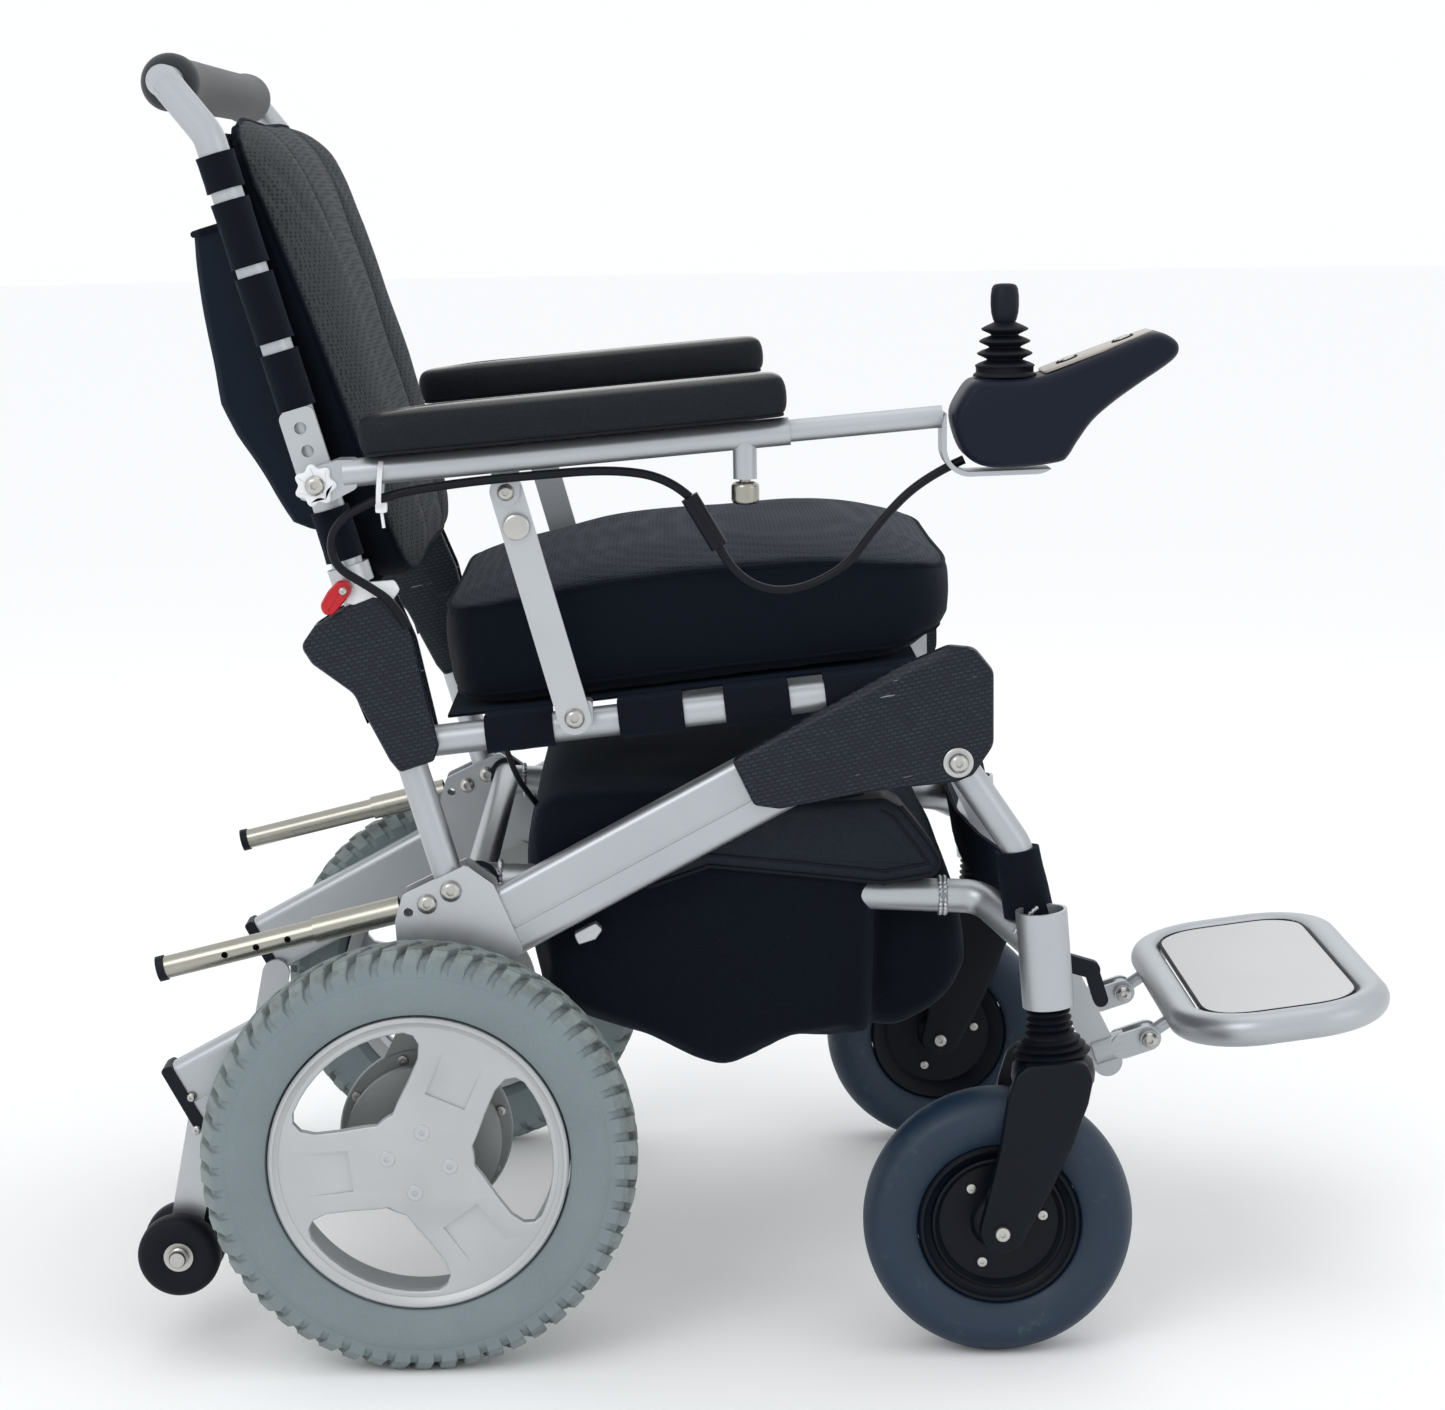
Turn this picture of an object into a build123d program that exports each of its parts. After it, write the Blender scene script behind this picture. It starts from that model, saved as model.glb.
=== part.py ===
from build123d import *
import os
from math import atan2, cos, degrees, hypot, radians, sin, tan

# Folding power wheelchair, millimetres.
# X points forward, Y to the user's left, Z up. The origin is on the floor under the middle of the chair.
# Places are written as (forward of the rear axle, height), and at() turns them into X and Z.

# ---- driving dimensions ----
rear_axle_x = -267.7
side_y = 232.0            # plane of the beams, posts, seat tubes and back tubes
arm_y = 272.0             # plane of the armrest tubes
frame_tube = 23.0         # seat, post and back tubes, outer diameter
tube_wall = 1.6

wheel_radius = 160.0
wheel_width = 54.0
wheel_y = 277.0
rim_radius = 110.0
hub_screw_circle = 23.0

caster_radius = 100.0
caster_width = 50.0
caster_y = 264.0
caster_axle = (426.0, 100.0)
head_top = (458.0, 334.0)
head_bottom = (463.5, 262.0)
head_tube = 38.0

beam_rear = (-173.0, 199.0)
beam_front = (292.0, 444.6)
beam_depth = 52.0
beam_width = 22.0
groove_width = 3.0
groove_depth = 1.2

bracket_bolt = (25.6, 351.7)
bracket_screw = (8.0, 342.3)
back_pivot = (-14.0, 489.0)
arm_pivot = (-59.5, 654.6)
strut_length = hypot(arm_pivot[0] - back_pivot[0], arm_pivot[1] - back_pivot[1])
strut_foot = (119.5, 480.2)
front_pivot = (398.5, 442.3)
recline = 16.0            # degrees the back leans from upright
back_length = 470.0       # pivot to the top of the back tubes
push_rise = 38.0          # push bar above the bend of the back tubes
seat_rise = 5.8           # degrees
seat_front = (384.0, 498.5)
foot_pivot = (566.0, 184.4)
anti_tip_axle = (-187.0, 72.0)
hanger_y = 72.0
plate_tilt = 7.0

lower_y = 200.0
lower_front = (391.0, 331.5)
bag_half_width = 214.0
arm_start = (-40.0, 662.0)
arm_rise = 4.6
arm_tube_length = 318.0

pod_y = -272.0
panel_angle = 19.8
speed_place = (474.0, 732.7)
power_place = (514.0, 747.0)
stick_place = (430.0, 701.0)
cable_y = -275.0
cable_diameter = 6.5
cable_exit = (401.0, 665.4)
cable_turn = (372.0, 653.0)
gap = 0.3                 # between a soft part and what it lies on

os.makedirs("parts", exist_ok=True)


def at(place, y=0.0):
    """A point of the side view, set in space."""
    return Vector(rear_axle_x + place[0], y, place[1])


def along(start, angle, distance):
    """The place that lies a distance from start, at an angle above the forward direction."""
    return (start[0] + distance * cos(radians(angle)), start[1] + distance * sin(radians(angle)))


def rod(start, end, diameter):
    axis = end - start
    return extrude(Plane(origin=start, z_dir=axis) * Circle(diameter / 2), axis.length)


def tube(start, end, diameter, wall=tube_wall):
    axis = end - start
    ring = Circle(diameter / 2) - Circle(diameter / 2 - wall)
    return extrude(Plane(origin=start, z_dir=axis) * ring, axis.length)


def bent_rod(points, diameter, bends):
    path = FilletPolyline(*points, radius=bends)
    section = Plane(origin=path @ 0, z_dir=path % 0) * Circle(diameter / 2)
    return sweep(section, path=path)


def crosswise(place, near, far, diameter):
    """A round bar across the chair, from one Y to another."""
    return rod(at(place, near), at(place, far), diameter)


def plate(outline, near, far, corner=0.0):
    """A flat plate in the side view, between two Y values."""
    face = make_face(Polyline(*[(rear_axle_x + x, z) for x, z in outline], close=True))
    if corner:
        face = fillet(face.vertices(), corner)
    high = max(near, far)
    wall = extrude(face, abs(far - near))
    return Plane(origin=(0, high, 0), x_dir=(1, 0, 0), z_dir=(0, -1, 0)) * wall


def bar(start, end, width, near, far):
    """A straight flat bar with round ends, seen in the side view."""
    length = hypot(end[0] - start[0], end[1] - start[1])
    angle = degrees(atan2(end[1] - start[1], end[0] - start[0]))
    middle = ((start[0] + end[0]) / 2 + rear_axle_x, (start[1] + end[1]) / 2)
    face = Pos(*middle) * Rot(0, 0, angle) * SlotCenterToCenter(length, width)
    wall = extrude(face, abs(far - near))
    return Plane(origin=(0, max(near, far), 0), x_dir=(1, 0, 0), z_dir=(0, -1, 0)) * wall


def left(shape):
    return mirror(shape, about=Plane.XZ)


def both(shape):
    return [shape, left(shape)]


def group(solids):
    flat = []
    for item in solids:
        flat += list(item.solids())
    return Compound(children=flat)


beam_angle = degrees(atan2(beam_front[1] - beam_rear[1], beam_front[0] - beam_rear[0]))
back_angle = 90 + recline
post_top = along(back_pivot, back_angle, -31)
back_top = along(back_pivot, back_angle, back_length - 42)
seat_rear = (2.0, 460.0)
strut_angle = degrees(atan2(arm_pivot[1] - back_pivot[1], arm_pivot[0] - back_pivot[0]))
strut_head = along(strut_foot, strut_angle, strut_length)


# ---- main frame ----
def main_beam():
    half = beam_depth / 2
    corners = [along(beam_rear, beam_angle + 90, half), along(beam_rear, beam_angle + 90, -half),
               along(beam_front, beam_angle + 90, -half), along(beam_front, beam_angle + 90, half)]
    body = plate(corners, -side_y - beam_width / 2, -side_y + beam_width / 2)
    long_edges = body.edges().sort_by(SortBy.LENGTH)[-4:]
    body = fillet(long_edges, 7)
    low = along(beam_rear, beam_angle + 90, -6)
    high = along(low, beam_angle + 90, groove_width)
    run = hypot(beam_front[0] - beam_rear[0], beam_front[1] - beam_rear[1])
    groove = plate([low, along(low, beam_angle, run), along(high, beam_angle, run), high],
                   -side_y - beam_width / 2 - 1, -side_y - beam_width / 2 + groove_depth)
    return body - groove


def beam_cap():
    start = along(beam_rear, beam_angle, -9)
    half = beam_depth / 2 + 1
    corners = [along(start, beam_angle + 90, half), along(start, beam_angle + 90, -half),
               along(beam_rear, beam_angle + 90, -half), along(beam_rear, beam_angle + 90, half)]
    return plate(corners, -side_y - 13, -side_y + 13, 3)


def rear_bracket():
    outline = [(-10, 349), (37, 371), (57, 356), (78, 306), (60, 285), (-12, 250), (-16, 330)]
    solids = []
    for face_y in (-side_y - 15, -side_y + 11):
        wall = plate(outline, face_y, face_y + 4, 5)
        wall -= crosswise(bracket_bolt, face_y - 1, face_y + 5, 8.4)
        wall -= crosswise(bracket_screw, face_y - 1, face_y + 5, 6.4)
        wall -= crosswise((-6, 336), face_y - 1, face_y + 5, 7)
        solids.append(wall)
    return solids


def front_bracket():
    outline = [(240, 430), (252, 414), (300, 424), (392, 428), (414, 444), (414, 500), (394, 512), (352, 504)]
    solids = []
    for face_y in (-side_y - 15, -side_y + 12):
        wall = plate(outline, face_y, face_y + 3, 5)
        wall -= crosswise(front_pivot, face_y - 1, face_y + 4, 10.4)
        solids.append(wall)
    return solids


def front_cover():
    """Skin over the front joint, outside the outer bracket."""
    outline = [(233, 444), (250, 411), (340, 419), (394, 425), (424, 450), (425, 510), (411, 526), (393, 528),
               (357, 514)]
    wall = plate(outline, -side_y - 19, -side_y - 15.2, 4)
    return wall - crosswise(front_pivot, -260, -240, 10.6)


def strut_saddle():
    """Block that stands on the seat tube and carries the strut's foot."""
    x, z = strut_foot
    block = plate([(x - 13, z - 6), (x + 13, z - 6), (x + 13, z + 12), (x - 13, z + 12)],
                  -side_y - 18.5, -side_y - 2, 3)
    block -= rod(at(seat_rear, -side_y), at(seat_front, -side_y), frame_tube + 0.2)
    return block - crosswise(strut_foot, -side_y - 20, -side_y, 8.4)


def anti_tip_arm():
    arm = bar((-166, 176), anti_tip_axle, 24, -side_y + 14, -side_y + 19)
    return arm - crosswise(anti_tip_axle, -side_y + 13, -side_y + 20, 8.4)


def seat_side_frame():
    """Rear post, seat tube and the fork of the back hinge, welded together."""
    post = rod(at(bracket_bolt, -side_y), at(post_top, -side_y), frame_tube - 1)
    bore_start = along(bracket_bolt, back_angle, 20)
    bore_end = along(post_top, back_angle, -8)
    post -= rod(at(bore_start, -side_y), at(bore_end, -side_y), frame_tube - 2 * tube_wall)
    seat = rod(at((-5.6, 459.3), -side_y), at(seat_front, -side_y), frame_tube)
    seat -= rod(at((14, 461.3), -side_y), at((410, 501.2), -side_y), frame_tube - 2 * tube_wall)
    solid = post + seat
    for cheek_y in (-side_y - 11, -side_y + 7):
        solid += bar(post_top, back_pivot, 26, cheek_y, cheek_y + 4)
    solid -= crosswise(bracket_bolt, -side_y - 20, -side_y + 20, 8.4)
    return solid - crosswise(back_pivot, -side_y - 20, -side_y + 20, 10.4)


def lower_frame():
    """Two lower tubes and the cross tube behind them, welded."""
    solid = rod(at((44, 352), -side_y + 15), at((44, 352), side_y - 15), 22)
    for y in (-lower_y, lower_y):
        solid += rod(at((44, 350.4), y), at(lower_front, y), 25)
        solid -= rod(at((70, 349), y), at((400, 331), y), 25 - 2 * tube_wall)
    return solid


def tube_collar():
    ring = Circle(15) - Circle(11.2)
    start = at((44, 352), -side_y + 17.2)
    return extrude(Plane(origin=start, z_dir=(0, 1, 0)) * ring, 2.2)


def extension_tubes():
    """Stainless sleeve and the thinner tube that telescopes in it, with a row of stop holes."""
    angle = 193.2
    start = (-12.5, 335.4)
    step = along(start, angle, 66)
    end = along(start, angle, 180)
    sleeve = tube(at(start, -side_y), at(step, -side_y), 20, 1.4)
    inner = tube(at(along(start, angle, 10), -side_y), at(end, -side_y), 16.8, 1.4)
    for number in range(3):
        place = along(start, angle, 86 + 24 * number)
        inner -= crosswise(place, -side_y - 12, -side_y, 5)
    cap = rod(at(end, -side_y), at(along(end, angle, 6), -side_y), 19)
    return [sleeve, inner], [cap]


def gear_motor():
    axle = (0, wheel_radius)
    body = crosswise(axle, -236, -150, 92)
    body = fillet(body.edges().filter_by(GeomType.CIRCLE), 6)
    flange = crosswise(axle, -245, -236, 116)
    shaft = crosswise(axle, -276, -245, 16)
    hanger = plate([(-44, 190), (46, 190), (64, 296), (-10, 258)], -side_y + 15, -side_y + 19, 6)
    hanger -= crosswise(axle, -230, -210, 92)
    return body + flange + shaft + hanger


# ---- rear wheel ----
def rear_tyre():
    half = wheel_width / 2
    section = make_face(Polyline((rim_radius, -20), (rim_radius, 20), (122, half - 3), (146, half),
                                 (wheel_radius - 4, half - 7), (wheel_radius, 0),
                                  (wheel_radius - 4, -half + 7),
                                 (146, -half), (122, -half + 3), close=True))
    ring = revolve(Plane.XZ * section, Axis.Z)
    return Plane(origin=at((0, wheel_radius), -wheel_y), z_dir=(0, -1, 0)) * ring


def rear_rim():
    """Alloy wheel with three spokes, and its hub screws."""
    barrel = Cylinder(rim_radius - 0.1, 38) - Cylinder(rim_radius - 8, 40)
    disc = Pos(0, 0, 9) * Cylinder(rim_radius - 6, 9)
    hub = Pos(0, 0, 0) * Cylinder(34, 34)
    for turn in (120, 240, 0):
        window = SlotArc(RadiusArc((66 * cos(radians(turn - 30)), 66 * sin(radians(turn - 30))),
                                   (66 * cos(radians(turn + 30)), 66 * sin(radians(turn + 30))), -66), 44)
        disc -= extrude(window, 40)
    wheel = barrel + disc + hub
    wheel -= Cylinder(8.3, 60)
    solids = [wheel]
    for turn in range(4):
        screw = Rot(0, 0, 90 * turn + 35) * Pos(hub_screw_circle, 0, 18.6) * Cylinder(5.5, 3.2)
        solids.append(screw)
    place = Plane(origin=at((0, wheel_radius), -wheel_y), z_dir=(0, -1, 0), x_dir=(1, 0, 0))
    return [place * item for item in solids]


def anti_tip_wheels():
    """Two small wheels on one axle, either side of the arm."""
    axle = crosswise(anti_tip_axle, -side_y - 14, -side_y + 44, 8)
    near = crosswise(anti_tip_axle, -side_y - 10, -side_y + 12, 62)
    far = crosswise(anti_tip_axle, -side_y + 21, -side_y + 42, 62)
    wheels = []
    for wheel in (near, far):
        wheels.append(fillet(wheel.edges().filter_by(GeomType.CIRCLE), 6) - axle)
    return [axle] + wheels


# ---- swinging front frame ----
def front_side():
    """Front leg, elbow of the lower tube and the caster's head tube, welded."""
    leg = bent_rod([at(front_pivot, -side_y), at((443.5, 375), -side_y), at((452.5, 322), -side_y - 6)],
                   23.4, 30)
    elbow = bent_rod([at((392, 331.5), -lower_y), at((420, 330), -lower_y), at((462, 300), -caster_y)],
                     25.4, 24)
    head = rod(at(head_bottom, -caster_y), at(head_top, -caster_y), head_tube)
    solid = leg + elbow + head
    solid -= rod(at(along(head_bottom, 94.5, -10), -caster_y), at(along(head_top, 94.5, 10), -caster_y),
                 head_tube - 5)
    solid -= crosswise(front_pivot, -260, -200, 10.3)
    pin = crosswise((452, 294), -caster_y + 17, -219, 7)
    return solid + pin


def hanger():
    """Pivot tube across the front, with the two flat bars and arms that hold the footplate."""
    solid = crosswise(front_pivot, -side_y + 15.5, side_y - 15.5, 22)
    for y in (-hanger_y, hanger_y):
        solid += bar(front_pivot, (534, 164), 24, y - 4, y + 4)
        solid += rod(at((523, 171), y), at((549, 179), y), 21)
        for cheek_y in (y - 10, y + 6):
            solid += bar((546, 178), foot_pivot, 20, cheek_y, cheek_y + 4)
    for y in (-hanger_y, hanger_y):
        solid += crosswise(foot_pivot, y - 16, y + 12, 8)
        solid += crosswise(foot_pivot, y - 15, y - 10, 15)
    return solid


def front_pivot_pins():
    head = crosswise(front_pivot, -side_y - 23, -side_y - 19.4, 17)
    return head + crosswise(front_pivot, -side_y - 19.4, -side_y + 15.5, 10)


def calf_strap():
    top = (455, 400)
    low = (473, 338)
    step = along((0, 0), -16.2, 3)
    return plate([top, low, (low[0] + step[0], low[1]), (top[0] + step[0], top[1])], -240, 240)


def fold_pedal():
    """Curved foot lever that frees the frame lock."""
    start = (452, 294)
    arm = bar(start, (500, 279), 13, -230, -222)
    toe = bar((500, 279), (507, 256), 11, -230, -222)
    return arm + toe - crosswise(start, -240, -210, 7.5)


# ---- casters ----
def caster_fork():
    """Spindle, crown, two arms and the axle bolt."""
    low = along(head_bottom, 94.5, -50)
    spindle = rod(at(low, -caster_y), at(along(low, 94.5, 90), -caster_y), 18)
    crown = plate([(444, 204), (498, 204), (494, 218), (448, 218)], -caster_y - 36, -caster_y + 36, 4)
    solid = spindle + crown
    for arm_face in (-36, 30):
        outline = [(444, 206), (498, 206), (494, 160), (470, 110),
                   (440, 84), (414, 86), (410, 108), (430, 140)]
        solid += plate(outline, -caster_y + arm_face, -caster_y + arm_face + 6, 4)
    solid += crosswise(caster_axle, -caster_y - 40, -caster_y + 40, 10)
    return solid


def caster_tyre():
    half = caster_width / 2
    section = make_face(Polyline((61, -half + 8), (61, half - 8), (70, half), (86, half), (96, half - 7),
                                 (caster_radius, half - 16), (caster_radius, -half + 16), (96, -half + 7),
                                 (86, -half), (70, -half), close=True))
    ring = revolve(Plane.XZ * section, Axis.Z)
    return Plane(origin=at(caster_axle, -caster_y), z_dir=(0, -1, 0)) * ring


def caster_rim():
    disc = Cylinder(60.9, 34) - Cylinder(5.2, 60)
    for face_z in (14, -14):
        disc -= Pos(0, 0, face_z) * (Cylinder(50, 8) - Cylinder(20, 9))
    return Plane(origin=at(caster_axle, -caster_y), z_dir=(0, -1, 0)) * disc


# ---- footplate ----
def footplate_plane(height=0.0):
    tilt = radians(plate_tilt)
    base = at((666, 213))
    up = Vector(-sin(tilt), 0, cos(tilt))
    return Plane(origin=base + up * height, x_dir=(cos(tilt), 0, sin(tilt)), z_dir=up)


def footplate_frame():
    """Round tube bent to a rounded oblong, with two hinge necks."""
    ring = RectangleRounded(150, 304, 56).wire()
    section = Plane(origin=ring @ 0, z_dir=ring % 0) * Circle(13)
    solid = footplate_plane() * sweep(section, path=ring)
    for y in (-hanger_y, hanger_y):
        solid += rod(at(foot_pivot, y), at((592, 202), y), 10.5)
        solid += crosswise(foot_pivot, y - 5.6, y + 5.6, 18)
        solid -= crosswise(foot_pivot, y - 20, y + 20, 8.6)
    return solid


def footplate_panel():
    slab = extrude(RectangleRounded(123, 277, 42), 6)
    return footplate_plane(4) * slab


# ---- seat ----
def seat_sling():
    lift = frame_tube / 2 + gap
    start = along(seat_rear, seat_rise + 90, lift)
    front = along(start, seat_rise, 372)
    return plate([along(start, seat_rise, 22), front, along(front, seat_rise + 90, 2.5),
                  along(along(start, seat_rise, 22), seat_rise + 90, 2.5)], -213, 213)


def seat_cushion():
    lift = frame_tube / 2 + 2.5 + 2 * gap
    low = along(along(seat_rear, seat_rise + 90, lift), seat_rise, 22)
    section = [(0, 0), (386, 0), (393, 38), (384, 68), (320, 84), (80, 84), (0, 74)]
    outline = [along(along(low, seat_rise, run), seat_rise + 90, height) for run, height in section]
    return plate(outline, -213, 213, 9)


# ---- battery ----
def battery_pack():
    return plate([(130, 240), (330, 240), (330, 330), (130, 330)], -140, 140, 6)


def battery_bag():
    outline = [(90, 366), (124, 396), (352, 402), (392, 380), (396, 330), (422, 298), (424, 266), (392, 232),
               (330, 218), (227, 200), (120, 226), (86, 262)]
    flank = [(90, 366), (124, 396), (338, 400), (340, 206), (227, 200), (120, 226), (86, 262)]
    bag = plate(outline, -178, 178, 8) + plate(flank, -bag_half_width, bag_half_width, 8)
    for y in (-lower_y, lower_y):
        bag -= rod(at((44, 350.4), y), at(lower_front, y), 26)
    return bag - plate([(129, 239), (331, 239), (331, 331), (129, 331)], -141, 141)


# ---- back ----
def back_point(distance, ahead=0.0):
    """A place along the back tube from its pivot, or ahead of it."""
    return along(along(back_pivot, back_angle, distance), back_angle - 90, ahead)


def back_frame():
    """Two back tubes joined by the push bar at the top."""
    start = back_point(30)
    bend = back_point(back_length - 42)
    top = (bend[0] - 30, bend[1] + push_rise)
    solid = None
    for y in (-side_y, side_y):
        cane = bent_rod([at(start, y), at(bend, y), at(top, y)], frame_tube, 30)
        solid = cane if solid is None else solid + cane
        solid += bar(back_pivot, back_point(36), 20, y - 6, y + 6)
    solid += crosswise(top, -side_y - 8, side_y + 8, frame_tube)
    return solid - crosswise(back_pivot, -side_y - 20, side_y + 20, 10.6)


def push_grip():
    bend = back_point(back_length - 42)
    top = (bend[0] - 30, bend[1] + push_rise)
    ring = Circle(19) - Circle(frame_tube / 2 + 0.1)
    return extrude(Plane(origin=at(top, -side_y + 22), z_dir=(0, 1, 0)) * ring, 2 * side_y - 44)


def rear_cover():
    """Skin over the back hinge: an outer and an inner shell."""
    outline = [(-46, 560), (-17, 571), (4, 536), (20, 460), (12, 446), (-10, 442), (-30, 478), (-40, 499),
               (-72, 520), (-78, 534)]
    outer = plate(outline, -side_y - 17, -side_y - 13, 3)
    inner = plate(outline, -side_y + 13, -side_y + 17, 3)
    web = crosswise((-52, 532), -side_y - 13, -side_y + 13, 10)
    return outer + inner + web


def clamp_band():
    start = back_point(93)
    ring = Circle(15.5) - Circle(frame_tube / 2 + 0.1)
    direction = at(back_point(110), -side_y) - at(start, -side_y)
    return extrude(Plane(origin=at(start, -side_y), z_dir=direction) * ring, 14)


def arm_bracket():
    outline = [back_point(160, -13), back_point(160, 13), back_point(226, 13), back_point(226, -13)]
    wall = plate(outline, -side_y - 16.5, -side_y - 12, 6)
    for distance in (195, 212):
        wall -= crosswise(back_point(distance), -260, -230, 9)
    return wall - crosswise(arm_pivot, -260, -230, 8.4)


def release_lever():
    start = (-45, 576)
    solid = plate([(-40, 581), (-50, 581), (-63, 560), (-55, 554), (-40, 570)], -side_y - 25, -side_y - 19, 2)
    return solid - crosswise(start, -260, -230, 5.4)


def lever_pin():
    return crosswise((-45, 576), -side_y - 26, -side_y - 17, 5)


def back_sling():
    """Fabric back with the pocket behind it."""
    first = frame_tube / 2 - 6
    behind = first - 3
    section = [back_point(78, first), back_point(430, first), back_point(430, behind), back_point(78, behind)]
    sheet = plate(section, -214, 214)
    pocket = [back_point(140, first - 3), back_point(362, first - 3), back_point(360, first - 42),
              back_point(290, first - 58), back_point(200, first - 54)]
    return sheet + plate(pocket, -170, 170, 6)


def back_cushion():
    ahead = frame_tube / 2 - 6 + gap
    outline = [back_point(84, ahead), back_point(434, ahead), back_point(440, ahead + 18),
               back_point(416, ahead + 41), back_point(300, ahead + 44), back_point(84, ahead + 44)]
    return plate(outline, -206, 206, 9)


# ---- armrests ----
def armrest_tube():
    """Armrest tube with its rear knuckle, the lug for the strut and the stub of the set knob."""
    end = along(arm_start, arm_rise, arm_tube_length)
    solid = rod(at(arm_start, -arm_y), at(end, -arm_y), 20)
    knuckle = [(-72, 644), (-50, 642), (-30, 652), (-30, 672), (-44, 672), (-72, 662)]
    solid += plate(knuckle, -arm_y - 6, -251, 5)
    solid += bar(strut_head, (strut_head[0], strut_head[1] + 22), 20, -262, -257.5)
    solid += rod(at((245, 684), -arm_y), at((245, 654), -arm_y), 17)
    solid -= rod(at(along(arm_start, arm_rise, 4), -arm_y), at(along(end, arm_rise, 4), -arm_y), 17)
    solid -= rod(at((245, 684), -arm_y), at((245, 650), -arm_y), 8.4)
    solid += crosswise(strut_head, -258, -249, 8)
    solid += crosswise(strut_head, -250.4, -247.4, 13)
    return solid - crosswise(arm_pivot, -290, -240, 8.4)


def strut():
    solid = bar(strut_foot, strut_head, 24, -256, -251)
    solid -= crosswise(strut_head, -270, -240, 9.2)
    knob = crosswise(along(strut_head, -75, 26), -260.5, -256, 19)
    return solid + knob - crosswise(strut_foot, -270, -240, 8.4)


def arm_pad():
    low = along(along(arm_start, arm_rise + 90, 10.6), arm_rise, 14)
    front = along(low, arm_rise, 304)
    outline = [low, front, along(front, arm_rise + 90, 31), along(low, arm_rise + 90, 31)]
    return fillet(plate(outline, -300, -250, 9).faces().sort_by(Axis.Y)[0].edges(), 6)


# ---- controller ----
def controller_tube():
    """Sliding tube with the bent flat bracket welded on its end."""
    start = along(arm_start, arm_rise, 232)
    end = along(arm_start, arm_rise, 427)
    solid = rod(at(start, pod_y), at(end, pod_y), 16)
    outer = plate([(384, 708), (470, 708), (470, 656), (384, 654)], pod_y - 17, pod_y + 17, 20)
    inner = plate([(387.4, 760), (480, 760), (480, 659.6), (387.4, 657.4)], pod_y - 18, pod_y + 18, 17)
    outer -= rod(at(cable_exit, pod_y), at(cable_turn, pod_y), cable_diameter + 3)
    top = plate([(380, 704), (480, 704), (480, 730), (380, 730)], pod_y - 18, pod_y + 18)
    return solid + (outer - inner - top)


def pod_shell():
    outline = [(389, 700), (400, 718), (408, 723), (452, 724.5), (534, 754), (550, 747), (547, 736),
               (520, 718),
               (490, 694), (479, 678), (472, 664), (466, 661), (415, 660.5), (400, 668), (392, 683)]
    solid = plate(outline, pod_y - 30, pod_y + 30, 2.5)
    well = rod(at((430, 690), pod_y), at((430, 730), pod_y), 34)
    pan = plate([(456, 726.2), (532, 753.5), (530, 765), (450, 745)], pod_y - 24, pod_y + 24)
    solid -= well
    solid -= pan
    for place in (speed_place, power_place):
        solid -= button_rod(place, -8, 12, 15)
    return solid


def button_rod(place, low, high, diameter):
    foot = along(place, panel_angle + 90, low)
    head = along(place, panel_angle + 90, high)
    return rod(at(foot, pod_y), at(head, pod_y), diameter)


def pod_panel():
    low = (457, 726.8)
    far = (531, 753.3)
    outline = [low, far, along(far, panel_angle + 90, 2), along(low, panel_angle + 90, 2)]
    solid = plate(outline, pod_y - 23.5, pod_y + 23.5)
    for place in (speed_place, power_place):
        solid -= button_rod(place, -8, 12, 14)
    return solid


def pod_button(place):
    return button_rod(place, -5, 4, 12.4)


def gimbal():
    """Ring inside the pod that carries the stick on two crossed axes."""
    x, z = stick_place
    ring = rod(at((x, z - 3), pod_y), at((x, z + 3), pod_y), 28)
    ring -= rod(at((x, z - 9), pod_y), at((x, z + 9), pod_y), 20)
    for side in (-1, 1):
        ring += crosswise(stick_place, pod_y + side * 12, pod_y + side * 16, 4)
    return ring


def joystick():
    stem = rod(at((430, 697), pod_y), at((430, 765), pod_y), 7)
    stem += rod(at((421, 701), pod_y), at((439, 701), pod_y), 4)
    knob = rod(at((430, 763), pod_y), at((430, 789), pod_y), 19)
    knob = fillet(knob.edges().filter_by(GeomType.CIRCLE), 4)
    return stem + knob


def joystick_boot():
    points = [(6.4, 36), (19, 31), (12, 26), (18, 21), (13, 15.5), (20, 10), (14, 4.5), (21, 0), (21, -1.5)]
    inner = [(19, -1.5), (18.5, 0), (12, 4.5), (17.5, 10), (10.8, 15.5),
             (15.5, 21), (9.8, 26), (16.5, 31), (5, 34.5)]
    section = make_face(Polyline(*points, *inner, close=True))
    cup = revolve(Plane.XZ * section, Axis.Z)
    return Pos(at((430, 726.6), pod_y)) * cup


def set_knob():
    """Flared knob on the screw that clamps the sliding tube."""
    head = rod(at((245, 636), -arm_y), at((245, 652), -arm_y), 20)
    head = fillet(head.edges().filter_by(GeomType.CIRCLE), 4)
    return head + rod(at((245, 650), -arm_y), at((245, 662), -arm_y), 8)


# ---- cables ----
def cable_tube(points, diameter, name):
    """Tube along straight runs joined by arcs as large as the runs allow."""
    bends = []
    for before, here, after in zip(points, points[1:], points[2:]):
        first = here - before
        second = after - here
        turn = radians(first.get_angle(second))
        bends.append(0.45 * min(first.length, second.length) / tan(turn / 2))
    path = FilletPolyline(*points, radius=bends)
    print(name, "length", round(path.length, 1), "bends", [round(bend) for bend in bends])
    section = Plane(origin=path @ 0, z_dir=path % 0) * Circle(diameter / 2)
    return sweep(section, path=path)


def front_cable():
    points = [at(cable_exit, pod_y), at(cable_turn, pod_y), at((340, 622), cable_y), at((316, 588), cable_y),
              at((272, 570), cable_y), at((236, 584), cable_y), at((226, 606), cable_y)]
    return cable_tube(points, cable_diameter, "front cable")


def cable_plug():
    return rod(at((226, 606), cable_y), at((205, 642), cable_y), 13)


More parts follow.
